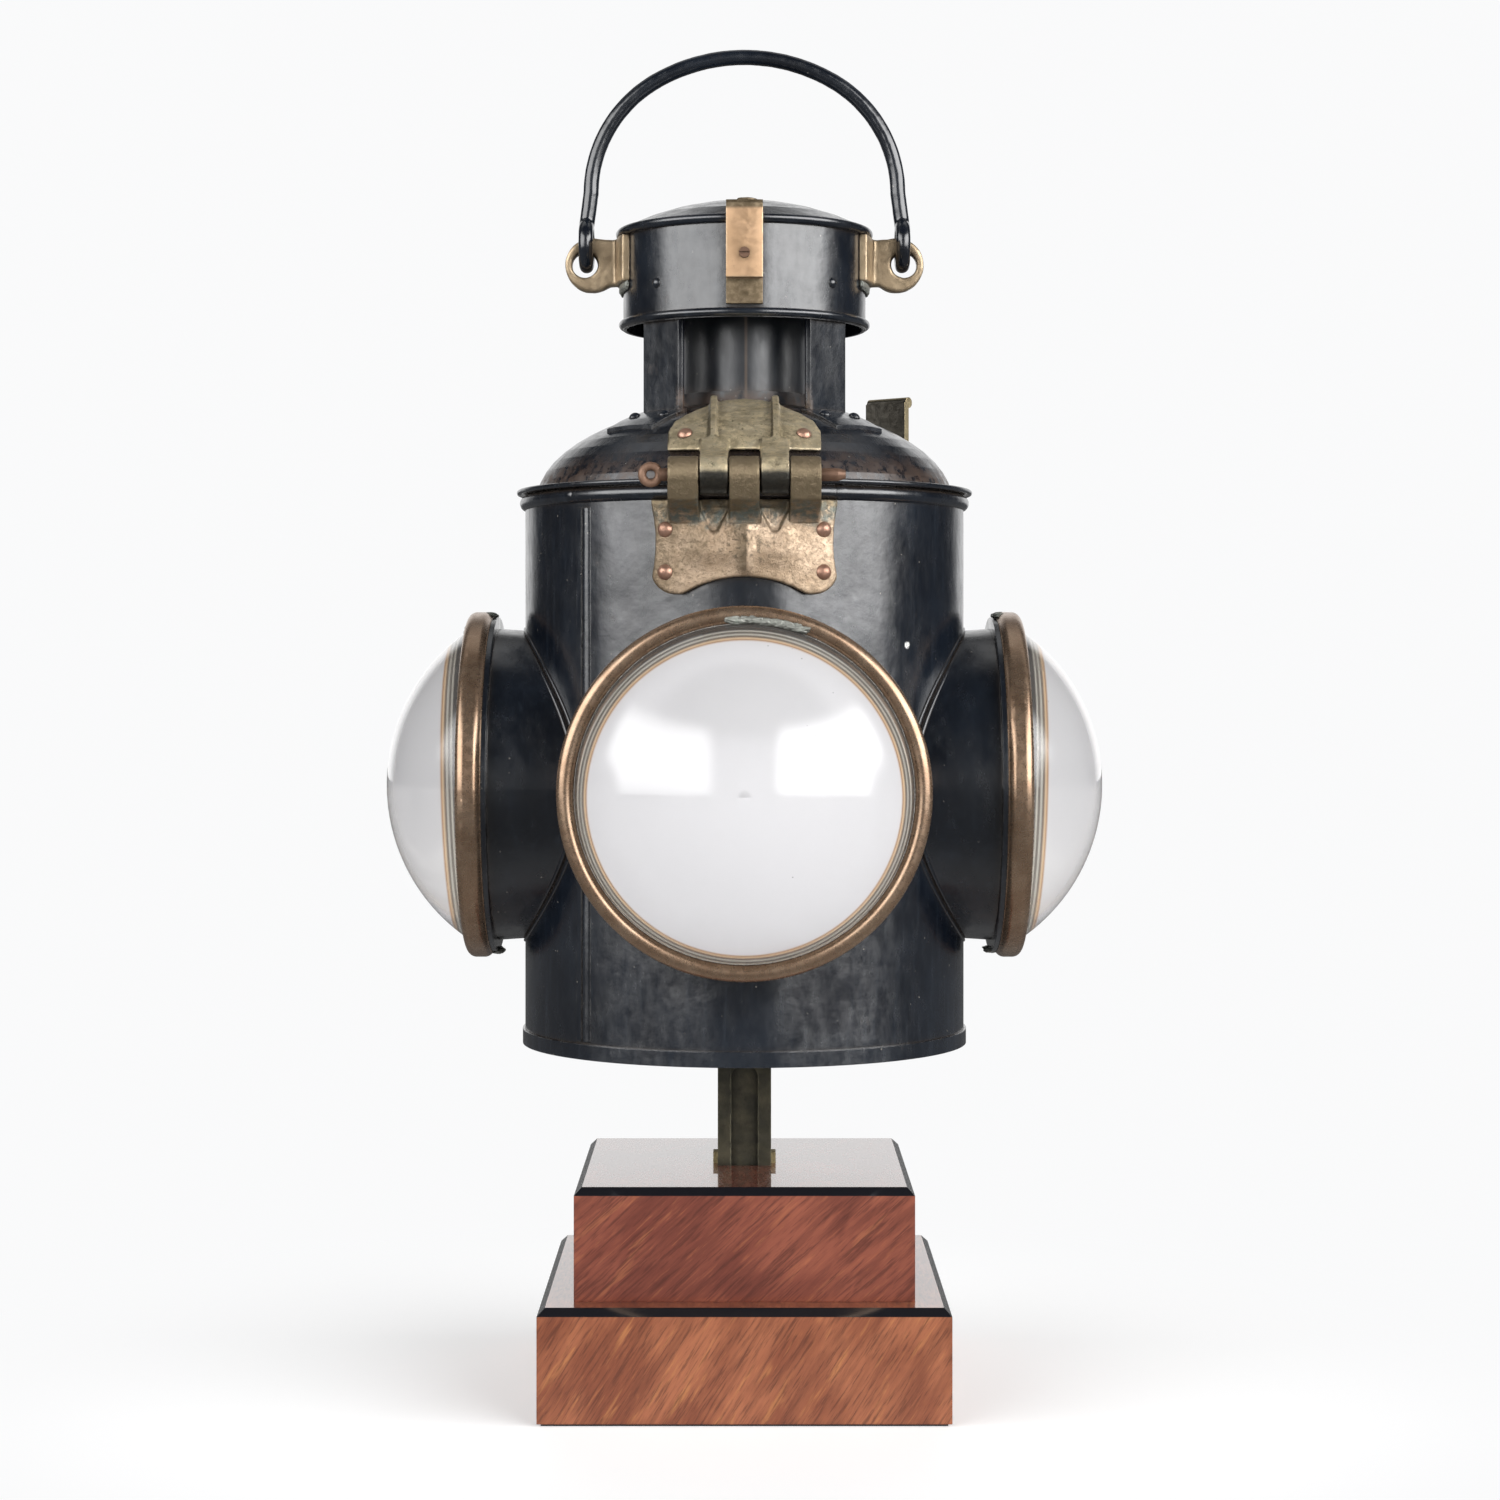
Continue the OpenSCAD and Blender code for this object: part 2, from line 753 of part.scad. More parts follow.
module lid_dome() {
    angles = [7.4, 12, 18, 24, 30, 36, 42, 48, 54, 60, 66, 72];
    outer = concat([for (t = angles) dome_point(0, t)], [dome_point(0, neck_t)]);
    inner = concat([for (t = angles) dome_point(-sheet_t, t)], [[neck_r, dome_point(-sheet_t, neck_t)[1]]]);
    skirt_out = body_r - sheet_t - skirt_gap;
    color([0.11, 0.13, 0.16])
        difference() {
            union() {
                rotate_extrude()
                    polygon(concat([[dome_point(-sheet_t, angles[0])[0], flange_z + 0.5]], inner,
                                   [for (i = [len(outer) - 1 : -1 : 0]) outer[i]],
                                   [[dome_point(0, angles[0])[0], flange_z + 0.5]]));
                rotate_extrude() {
                    translate([dome_a - 2, flange_z]) square([lid_r - flange_t / 2 - dome_a + 2, flange_t]);
                    translate([lid_r - flange_t / 2, flange_z + flange_t / 2]) circle(r = flange_t / 2, $fn = 24);
                }
                translate([0, 0, flange_z - skirt_h]) tube(skirt_out, skirt_out - sheet_t, skirt_h + 0.5);
            }
            lid_leaf_rivet_shanks();
            foot_rivet_shanks();
        }
}

module neck_tube() {
    color([0.11, 0.13, 0.16])
        translate([0, 0, neck_low]) tube(neck_r, neck_r - sheet_t, neck_top - neck_low);
}

module neck_collar() {
    color([0.28, 0.2, 0.15])
        difference() {
            translate([0, 0, neck_low]) tube(neck_r + 2.5, neck_r, collar_top - neck_low);
            dome_solid(0);
        }
}

module stanchion(k) {
    edge_r = 1.8;
    color([0.11, 0.13, 0.16])
        difference() {
            rotate([0, 0, 45 + 90 * k]) {
                translate([-stanchion_w / 2, -stanchion_r, dome_z + 20])
                    cube([stanchion_w, stanchion_t, stanchion_top - dome_z - 20]);
                for (s = [-1, 1])
                    translate([s * (stanchion_w / 2 - edge_r), -stanchion_r + edge_r + 0.6, dome_z + 20])
                        cylinder(r = edge_r, h = stanchion_top - dome_z - 20, $fn = 24);
                intersection() {
                    dome_solid(foot_t);
                    translate([-foot_w / 2, -foot_out, dome_z + 10])
                        cube([foot_w, foot_out - stanchion_r + stanchion_t, 40]);
                }
            }
            dome_solid(0);
            foot_rivet_shanks();
            drum_rivet_shanks();
        }
}

module each_foot_rivet() {
    for (k = [0 : 3], s = [-1, 1])
        on_dome(45 + 90 * k + s * 9, foot_rivet_t, 0) children();
}

module foot_rivet_shanks() {
    each_foot_rivet() translate([0, 0, -6]) cylinder(r = 1.5, h = 12);
}

module foot_rivets() {
    color([0.16, 0.15, 0.15])
        each_foot_rivet() translate([0, 0, foot_t - 0.05]) rivet(2.4, 1.5, foot_t + sheet_t + 0.2);
}

module drum_rivet_shanks() {
    for (k = [0 : 3])
        on_wall(45 + 90 * k, drum_r - 10, drum_rivet_z) cylinder(r = 1.5, h = 20);
}

module drum_rivets() {
    color([0.14, 0.15, 0.17])
        for (k = [0 : 3])
            on_wall(45 + 90 * k, drum_r - 0.02, drum_rivet_z)
                rivet(2.2, 1.5, drum_r - stanchion_r + stanchion_t);
}

module vent_drum() {
    bead_r = 1.6;
    color([0.11, 0.13, 0.16])
        difference() {
            rotate_extrude() {
                translate([drum_r - sheet_t, drum_z]) square([sheet_t, drum_h]);
                translate([drum_r + 0.2, drum_z + 2]) circle(r = bead_r, $fn = 24);
            }
            translate([0, 0, drum_z]) cylinder(r = drum_r - sheet_t, h = drum_h);
            drum_rivet_shanks();
            clip_screw_shanks();
        }
}

module vent_cap() {
    rim_r = 52.4;
    edge_r = cap_t / 2;
    inner_z = drum_top + cap_t - 1.2;
    radii = [50, 40, 30, 20, 10, 0];
    color([0.11, 0.13, 0.16])
        rotate_extrude() {
            translate([drum_r - sheet_t - 3, drum_top]) square([rim_r - edge_r - drum_r + sheet_t + 3, cap_t]);
            translate([rim_r - edge_r, drum_top + edge_r]) circle(r = edge_r, $fn = 32);
            translate([drum_r - 2 * sheet_t, drum_top - 5]) square([sheet_t, 5 + eps]);
            polygon(concat([for (r = radii) [r, cap_face(r)]],
                           [for (i = [len(radii) - 1 : -1 : 1]) [radii[i], cap_face(radii[i]) - sheet_t]],
                           [[radii[0] - 3, inner_z]]));
        }
}

// Section of a clip: on the drum below, round the cap rim, and on the cap above
module clip_section() {
    inner_end = 38;
    radii = [inner_end, 42, 46, 50];
    polygon(concat([[drum_r, drum_z + 5], [drum_r + 1.8, drum_z + 5], [drum_r + 1.8, drum_z + 15],
                    [clip_out, drum_z + 15], [clip_out, drum_top + 7], [clip_out - 1, drum_top + 8.4]],
                   [for (i = [len(radii) - 1 : -1 : 0]) [radii[i], cap_face(radii[i]) + clip_t]],
                   [for (r = radii) [r, cap_face(r)]],
                   [[clip_rim_clear, drum_top + cap_t], [clip_rim_clear, drum_top], [drum_r, drum_top]]));
}

module clip(angle) {
    color([0.7, 0.5, 0.36])
        difference() {
            rotate([0, 0, angle])
                intersection() {
                    rotate_extrude() clip_section();
                    translate([-clip_w / 2, -60, drum_z]) cube([clip_w, 60, 60]);
                }
            clip_screw_shanks();
        }
}

module clip_screw_shanks() {
    for (a = [0, 180])
        on_wall(a, drum_r - 6, clip_screw_z)
            rivet_hole(clip_screw_head_r, 1.2, clip_out - drum_r + 6 - head_seat);
}

module clip_screws() {
    shank = clip_out - drum_r + 4;
    color([0.3, 0.27, 0.24])
        for (a = [0, 180])
            on_wall(a, clip_out - head_seat, clip_screw_z)
                difference() {
                    union() {
                        cylinder(r = clip_screw_head_r, h = 0.9);
                        translate([0, 0, -shank]) cylinder(r = 1.2, h = shank + eps);
                    }
                    translate([-3, -0.3, 0.5]) cube([6, 0.6, 1]);
                }
}

module lug(s) {
    pad_half = 18;
    pad_t = 3;
    pad_low = lug_z - 8.5;
    color([0.5, 0.42, 0.3])
        mirror([s < 0 ? 1 : 0, 0, 0])
            difference() {
                union() {
                    intersection() {
                        translate([0, 0, pad_low]) cylinder(r = drum_r + pad_t, h = drum_top - pad_low);
                        translate([20, -pad_half, pad_low]) cube([60, 2 * pad_half, 40]);
                    }
                    translate([0, lug_t / 2, 0])
                        rotate([90, 0, 0])
                            linear_extrude(height = lug_t) {
                                translate([lug_eye_x, lug_z]) circle(r = lug_eye_r);
                                polygon([[drum_r - 4, pad_low], [lug_eye_x - 6.5, pad_low],
                                         [lug_eye_x - 2, lug_z + lug_eye_r - 0.4],
                                         [drum_r + pad_t + 1.5, lug_z + lug_eye_r - 0.8],
                                         [drum_r - 4, drum_top]]);
                            }
                }
                cylinder(r = drum_r, h = 600);
                translate([lug_hole_x, 20, lug_z]) rotate([90, 0, 0]) cylinder(r = lug_hole_r, h = 40);
            }
}

// ---- Bail ----

// A piece of the rod bent to radius r in the XZ plane, from angle a, turning by sweep
module rod_arc(r, a, sweep) {
    reach = 2 * r;
    rotate([90, 0, 0])
        intersection() {
            rotate_extrude() translate([r, 0]) circle(r = rod_r, $fn = 32);
            translate([0, 0, -2 * rod_r])
                linear_extrude(height = 4 * rod_r)
                    polygon(concat([[0, 0]], [for (t = [0 : 0.5 : 1])
                                              reach * [cos(a + t * sweep), sin(a + t * sweep)]]));
        }
}

module bail() {
    leg_low = bail_z + loop_r;
    leg_h = arch_z - leg_low;
    lean = atan((loop_x - bail_half_w) / leg_h);
    color([0.12, 0.13, 0.16]) {
        translate([0, 0, arch_z - top_arc_drop]) rod_arc(top_arc_r, 90 - arc_meet, 2 * arc_meet);
        for (s = [0, 1])
            mirror([s, 0, 0]) {
                translate([side_arc_x, 0, arch_z]) rod_arc(side_arc_r, 0, 90 - arc_meet);
                translate([loop_x, 0, leg_low])
                    rotate([0, -lean, 0]) cylinder(r = rod_r, h = leg_h / cos(lean), $fn = 32);
                for (a = [0, 90 - arc_meet])
                    translate([side_arc_x + side_arc_r * cos(a), 0, arch_z + side_arc_r * sin(a)])
                        sphere(r = rod_r + 0.05, $fn = 32);
                translate([loop_x, 0, bail_z])
                    rotate([0, 90, 0])
                        rotate_extrude() translate([loop_r, 0]) circle(r = loop_rod_r, $fn = 32);
            }
    }
}

// ---- Oil fount and burner ----

module oil_fount() {
    color([0.62, 0.6, 0.55])
        difference() {
            union() {
                translate([0, 0, fount_z]) cylinder(r = fount_r, h = fount_h);
                translate([0, 0, fount_top]) cylinder(r = mouth_r + 2, h = 3);
                translate([filler_x, 0, fount_top]) cylinder(r = 7, h = 3);
            }
            translate([0, 0, fount_z + fount_wall])
                cylinder(r = fount_r - fount_wall, h = fount_h - 2 * fount_wall);
            translate([0, 0, fount_top - 2]) cylinder(r = mouth_r, h = 8);
            translate([filler_x, 0, fount_top - 2]) cylinder(r = 5, h = 8);
        }
}

module filler_cap() {
    color([0.6, 0.48, 0.25])
        difference() {
            translate([filler_x, 0, fount_top]) cylinder(r = 8.6, h = 5);
            translate([filler_x, 0, fount_top - 1]) cylinder(r = 7, h = 4);
        }
}

module burner() {
    ear_x = 8.6;
    ear_t = 1.4;
    tube_w = wick_w + 2 * wick_gap;
    tube_t = wick_t + 2 * wick_gap;
    color([0.6, 0.48, 0.25])
        difference() {
            union() {
                translate([0, 0, fount_top + 3]) cylinder(r = 17, h = deck_z - fount_top - 3);
                translate([-tube_w / 2 - tube_wall, -tube_t / 2 - tube_wall, fount_top + 3])
                    cube([tube_w + 2 * tube_wall, tube_t + 2 * tube_wall, tube_top - fount_top - 3]);
                for (s = [-1, 1])
                    translate([s * (ear_x + ear_t / 2) - ear_t / 2, spindle_y - 3, deck_z - 1])
                        cube([ear_t, -spindle_y + 3, spindle_z - deck_z + 4]);
            }
            translate([-tube_w / 2, -tube_t / 2, fount_top]) cube([tube_w, tube_t, 60]);
            translate([-ear_x, -tube_t / 2 - tube_wall - 1, spindle_z - wheel_r - 1])
                cube([2 * ear_x, tube_wall + 1 + eps, 2 * wheel_r + 2]);
            translate([-20, spindle_y, spindle_z])
                rotate([0, 90, 0]) cylinder(r = spindle_r + running_gap, h = 40);
        }
}

module burner_cone() {
    slot_w = wick_w + 5;
    wall_top = deck_z + 22;
    color([0.62, 0.5, 0.28])
        difference() {
            rotate_extrude()
                polygon([[cone_r, deck_z], [cone_r, wall_top], [cone_r - 1.5, wall_top + 8],
                         [cone_r - 5, wall_top + 15], [cone_r - 10, cone_top], [0, cone_top + 1],
                         [0, cone_top], [cone_r - 10.5, cone_top - 1], [cone_r - 6, wall_top + 14.2],
                         [cone_r - 2.5, wall_top + 7.6], [cone_r - 1, wall_top], [cone_r - 1, deck_z]]);
            translate([-slot_w / 2, -3.5, wall_top]) cube([slot_w, 7, 40]);
            translate([0, spindle_y, spindle_z]) rotate([0, 90, 0]) cylinder(r = 2, h = 40);
        }
}

module wick() {
    color("ivory")
        translate([-wick_w / 2, -wick_t / 2, fount_z + 4])
            cube([wick_w, wick_t, tube_top - fount_z - 3]);
}

module wick_winder() {
    wheel_w = 2;
    color([0.5, 0.42, 0.25])
        translate([0, spindle_y, spindle_z])
            rotate([0, 90, 0]) {
                translate([0, 0, -11]) cylinder(r = spindle_r, h = knob_x + 11 + eps);
                for (x = [-4, 4])
                    translate([0, 0, x]) cylinder(r = wheel_r - 0.05, h = wheel_w, center = true, $fn = 12);
                translate([0, 0, knob_x]) cylinder(r = 7, h = 3);
            }
}

felt_pad();
plinth_lower();
plinth_upper();
stem_bolt();
stem_washer();
stem();
stem_wedges();
stem_rivets();
base_pan();
body_shell();
rim_bead();
hood(front_side);  // hood_front
hood(right_side);  // hood_right
hood(rear_side);  // hood_rear
hood(left_side);  // hood_left
lens_packing();
lens(front_side);  // lens_front
lens(right_side);  // lens_right
lens(rear_side);  // lens_rear
lens(left_side);  // lens_left
bezel(front_side);  // bezel_front
bezel(right_side);  // bezel_right
bezel(rear_side);  // bezel_rear
bezel(left_side);  // bezel_left
hinge_body_leaf();
hinge_body_rivets();
hinge_pin();
hinge_lid_leaf();
hinge_lid_rivets();
catch_bracket();
catch_rivets();
catch_pin();
catch_lever();
lid_dome();
neck_tube();
neck_collar();
stanchion(0);  // stanchion_front_right
stanchion(1);  // stanchion_rear_right
stanchion(2);  // stanchion_rear_left
stanchion(3);  // stanchion_front_left
foot_rivets();
drum_rivets();
vent_drum();
vent_cap();
clip(0);  // clip_front
clip(180);  // clip_rear
clip_screws();
lug(-1);  // lug_left
lug(1);  // lug_right
bail();
oil_fount();
filler_cap();
burner();
burner_cone();
wick();
wick_winder();
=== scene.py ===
"""Looks of the four-lens railway lantern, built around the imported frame."""

import json
import math

import bmesh
import bpy
from mathutils import Matrix, Vector, noise


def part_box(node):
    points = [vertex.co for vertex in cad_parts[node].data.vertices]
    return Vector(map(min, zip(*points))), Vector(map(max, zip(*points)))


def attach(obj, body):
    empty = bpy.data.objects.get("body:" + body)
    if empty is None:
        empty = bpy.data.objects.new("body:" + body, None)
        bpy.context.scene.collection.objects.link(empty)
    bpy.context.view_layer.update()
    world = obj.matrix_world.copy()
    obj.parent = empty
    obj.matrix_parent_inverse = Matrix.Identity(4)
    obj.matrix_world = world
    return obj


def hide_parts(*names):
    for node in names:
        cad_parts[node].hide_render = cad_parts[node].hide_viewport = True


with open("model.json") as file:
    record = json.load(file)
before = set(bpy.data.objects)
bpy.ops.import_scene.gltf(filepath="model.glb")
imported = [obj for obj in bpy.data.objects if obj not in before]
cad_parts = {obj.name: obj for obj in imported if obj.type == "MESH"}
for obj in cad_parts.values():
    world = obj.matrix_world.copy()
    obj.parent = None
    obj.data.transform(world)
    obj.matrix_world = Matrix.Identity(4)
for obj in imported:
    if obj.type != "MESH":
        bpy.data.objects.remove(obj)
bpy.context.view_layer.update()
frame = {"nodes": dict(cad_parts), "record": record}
NODES = frame["nodes"]

MM = 0.001
SIDES = ("front", "right", "rear", "left")


# ---- Places worked out from the frame ----

def mid(node):
    low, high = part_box(node)
    return (low + high) / 2


LENS_Z = mid("lens_front").z
LEAF_R = 0.0927       # about the distance from the lamp's axis to the front of the lower hinge leaf
RUST_FOOT_Z = 0.3615  # where the rust at the foot of the dome begins, within the lid's flange
COLLAR_Z = 0.396      # middle of the collar at the foot of the neck
COLLAR_R = 0.0275     # outside of that collar
NECK_LOW_Z = 0.391    # foot of the neck tube
NECK_MARKS_Z = 0.436  # upper end of the marks on the neck, hidden inside the drum
CHIP_AT = (0.063, -0.063, 0.299)  # the bare chip in the body's paint


# ---- Camera, stage and lights ----

EYE_HEIGHT = 0.2855
EYE_DISTANCE = 1.245
LENS_MM = 73.2
SHIFT_X = 0.0037
SHIFT_Y = -0.0467
BACKDROP = (0.955, 0.957, 0.962, 1)


def make_camera():
    data = bpy.data.cameras.new("camera")
    data.lens = LENS_MM
    data.sensor_width = 36
    data.shift_x = SHIFT_X
    data.shift_y = SHIFT_Y
    camera = bpy.data.objects.new("camera", data)
    camera.location = (0, -EYE_DISTANCE, EYE_HEIGHT)
    camera.rotation_euler = (math.pi / 2, 0, 0)
    bpy.context.scene.collection.objects.link(camera)
    bpy.context.scene.camera = camera


class Graph:
    """Short ways to add nodes to a shader tree."""

    def __init__(self, tree):
        self.nodes, self.links = tree.nodes, tree.links

    def ramp(self, value, low, high, to_low=0.0, to_high=1.0):
        node = self.nodes.new("ShaderNodeMapRange")
        node.interpolation_type = "SMOOTHSTEP"
        ends = {"From Min": low, "From Max": high, "To Min": to_low, "To Max": to_high}
        for socket, number in ends.items():
            node.inputs[socket].default_value = number
        self.links.new(value, node.inputs["Value"])
        return node.outputs[0]

    def math(self, kind, a, b=0.0):
        node = self.nodes.new("ShaderNodeMath")
        node.operation = kind
        for socket, value in zip(node.inputs, (a, b)):
            if isinstance(value, (int, float)):
                socket.default_value = value
            else:
                self.links.new(value, socket)
        return node.outputs[0]

    def times(self, *values):
        out = values[0]
        for value in values[1:]:
            out = self.math("MULTIPLY", out, value)
        return out

    def split(self, vector):
        node = self.nodes.new("ShaderNodeSeparateXYZ")
        self.links.new(vector, node.inputs[0])
        return node.outputs[0], node.outputs[1], node.outputs[2]


def make_world():
    """A white backdrop; for the light, a dim room with a soft box at each side and a white wall behind."""
    world = bpy.data.worlds.new("studio")
    bpy.context.scene.world = world
    world.use_nodes = True
    g = Graph(world.node_tree)
    g.nodes.clear()
    x, y, z = g.split(g.nodes.new("ShaderNodeTexCoord").outputs["Generated"])
    side = g.math("ABSOLUTE", x)
    boxes = g.times(g.ramp(side, 0.24, 0.42), g.ramp(side, 0.998, 0.955), g.ramp(y, 0.1, -0.1),
                    g.ramp(z, -0.16, 0.14), g.ramp(z, 0.68, 0.5), g.ramp(x, -0.2, 0.2, 5.9, 8.4))
    wall = g.times(g.ramp(y, 0.74, 0.9), g.ramp(z, 0.75, 0.45), 1.45)
    ceiling = g.times(g.ramp(z, 0.6, 0.9), g.ramp(y, 0.02, 0.35), 0.75)
    front = g.times(g.ramp(y, -0.8, -0.97), g.ramp(z, -0.3, -0.05), g.ramp(z, 0.4, 0.15), 0.22)
    strength = g.math("ADD", g.math("ADD", boxes, wall), g.math("ADD", g.math("ADD", ceiling, front), 0.05))
    room = g.nodes.new("ShaderNodeBackground")
    g.links.new(strength, room.inputs["Strength"])
    seen = g.nodes.new("ShaderNodeBackground")
    seen.inputs["Color"].default_value = BACKDROP
    path = g.nodes.new("ShaderNodeLightPath")
    mix = g.nodes.new("ShaderNodeMixShader")
    straight = g.math("MAXIMUM", path.outputs["Is Camera Ray"], path.outputs["Is Transmission Ray"])
    g.links.new(straight, mix.inputs[0])
    g.links.new(room.outputs[0], mix.inputs[1])
    g.links.new(seen.outputs[0], mix.inputs[2])
    out = g.nodes.new("ShaderNodeOutputWorld")
    g.links.new(mix.outputs[0], out.inputs["Surface"])


def make_floor():
    """White floor near the plinth that turns into the backdrop's own white further out."""
    bpy.ops.mesh.primitive_circle_add(vertices=96, radius=12, fill_type="NGON", location=(0, 0, 0))
    floor = bpy.context.object
    floor.name = "floor"
    material = bpy.data.materials.new("floor_white")
    material.use_nodes = True
    g = Graph(material.node_tree)
    bsdf = g.nodes["Principled BSDF"]
    bsdf.inputs["Roughness"].default_value = 0.6
    bsdf.inputs["Specular IOR Level"].default_value = 0.1
    bsdf.inputs["Emission Color"].default_value = BACKDROP
    glow = g.nodes.new("ShaderNodeEmission")
    glow.inputs["Color"].default_value = BACKDROP
    mirrored = g.nodes.new("ShaderNodeLightPath").outputs["Is Glossy Ray"]
    g.links.new(g.ramp(mirrored, 0, 1, 1, 0.14), glow.inputs["Strength"])
    g.links.new(g.ramp(mirrored, 0, 1, 0.3, 0.03), bsdf.inputs["Emission Strength"])
    g.links.new(g.ramp(mirrored, 0, 1, 0.86, 0.35), bsdf.inputs["Base Color"])
    away = g.nodes.new("ShaderNodeVectorMath")
    away.operation = "LENGTH"
    g.links.new(g.nodes.new("ShaderNodeTexCoord").outputs["Object"], away.inputs[0])
    mix = g.nodes.new("ShaderNodeMixShader")
    g.links.new(g.ramp(away.outputs["Value"], 0.1, 0.36), mix.inputs[0])
    g.links.new(bsdf.outputs[0], mix.inputs[1])
    g.links.new(glow.outputs[0], mix.inputs[2])
    g.links.new(mix.outputs[0], g.nodes["Material Output"].inputs["Surface"])
    floor.data.materials.append(material)


# ---- Materials ----

class Shader(Graph):
    """A Principled material in the row frame, with procedural textures sized in millimetres."""

    def __init__(self, name, colour, roughness, metallic=0.0, round_mm=0.0):
        self.material = bpy.data.materials.new(name)
        self.material.use_nodes = True
        super().__init__(self.material.node_tree)
        self.bsdf = self.nodes["Principled BSDF"]
        self.set("Base Color", (*colour, 1))
        self.set("Roughness", roughness)
        self.set("Metallic", metallic)
        where = self.nodes.new("ShaderNodeTexCoord")
        self.coord = where.outputs["Object"]
        self.normal = where.outputs["Normal"]
        self.height = None
        if round_mm:
            bevel = self.nodes.new("ShaderNodeBevel")
            bevel.inputs["Radius"].default_value = round_mm * MM
            self.height = bevel.outputs[0]
            self.plug("Normal", self.height)

    def set(self, socket, value):
        self.bsdf.inputs[socket].default_value = value

    def plug(self, socket, value):
        self.links.new(value, self.bsdf.inputs[socket])

    def scaled(self, scale):
        node = self.nodes.new("ShaderNodeMapping")
        node.inputs["Scale"].default_value = scale
        self.links.new(self.coord, node.inputs["Vector"])
        return node.outputs[0]

    def noise(self, size_mm, detail=4, rough=0.55, stretch=(1, 1, 1), distort=0.0):
        node = self.nodes.new("ShaderNodeTexNoise")
        node.inputs["Scale"].default_value = 1
        node.inputs["Detail"].default_value = detail
        node.inputs["Roughness"].default_value = rough
        node.inputs["Distortion"].default_value = distort
        per = 1000 / size_mm
        self.links.new(self.scaled([per / s for s in stretch]), node.inputs["Vector"])
        return node.outputs["Fac"]

    def cells(self, size_mm, stretch=(1, 1, 1)):
        node = self.nodes.new("ShaderNodeTexVoronoi")
        node.inputs["Scale"].default_value = 1
        per = 1000 / size_mm
        self.links.new(self.scaled([per / s for s in stretch]), node.inputs["Vector"])
        return node.outputs["Distance"]

    def specks(self, size_mm, amount, radius=0.09, stretch=(1, 1, 1)):
        """Small scattered spots: 1 on a spot, 0 elsewhere."""
        spot = self.ramp(self.cells(size_mm, stretch), radius, radius * 0.5)
        return self.times(spot, self.ramp(self.noise(size_mm * 2.2, 2, 0.5), 0.6 - amount, 0.66 - amount))

    def axes(self):
        return self.split(self.coord)

    def facing(self, direction):
        """How far the surface faces a direction of the row frame."""
        node = self.nodes.new("ShaderNodeVectorMath")
        node.operation = "DOT_PRODUCT"
        node.inputs[1].default_value = direction
        self.links.new(self.normal, node.inputs[0])
        return node.outputs["Value"]

    def near(self, place, far, close):
        """1 within close metres of a place, 0 beyond far."""
        node = self.nodes.new("ShaderNodeVectorMath")
        node.operation = "DISTANCE"
        node.inputs[1].default_value = place
        self.links.new(self.coord, node.inputs[0])
        return self.ramp(node.outputs["Value"], far, close)

    def mix(self, factor, a, b):
        node = self.nodes.new("ShaderNodeMix")
        node.data_type = "RGBA"
        for socket, value in (("Factor", factor), ("A", a), ("B", b)):
            at = [s for s in node.inputs if s.name == socket and (socket == "Factor" or s.type == "RGBA")][0]
            if isinstance(value, tuple):
                at.default_value = (*value, 1)
            elif isinstance(value, (int, float)):
                at.default_value = value
            else:
                self.links.new(value, at)
        return [s for s in node.outputs if s.type == "RGBA"][0]

    def bump(self, value, depth_mm):
        node = self.nodes.new("ShaderNodeBump")
        node.inputs["Distance"].default_value = depth_mm * MM
        self.links.new(value, node.inputs["Height"])
        if self.height is not None:
            self.links.new(self.height, node.inputs["Normal"])
        self.height = node.outputs[0]
        self.plug("Normal", self.height)

    def edges(self, radius_mm=0.8):
        """1 on worn edges, 0 on flats."""
        bevel = self.nodes.new("ShaderNodeBevel")
        bevel.inputs["Radius"].default_value = radius_mm * MM
        geometry = self.nodes.new("ShaderNodeNewGeometry")
        dot = self.nodes.new("ShaderNodeVectorMath")
        dot.operation = "DOT_PRODUCT"
        self.links.new(bevel.outputs[0], dot.inputs[0])
        self.links.new(geometry.outputs["Normal"], dot.inputs[1])
        return self.ramp(dot.outputs["Value"], 0.999, 0.93)

    def occluded_corners(self, reach_mm, low=0.45, high=0.85):
        """1 in occluded corners, for painted shade; 0 on open faces."""
        node = self.nodes.new("ShaderNodeAmbientOcclusion")
        node.samples = 4
        node.inputs["Distance"].default_value = reach_mm * MM
        return self.ramp(node.outputs["AO"], high, low)


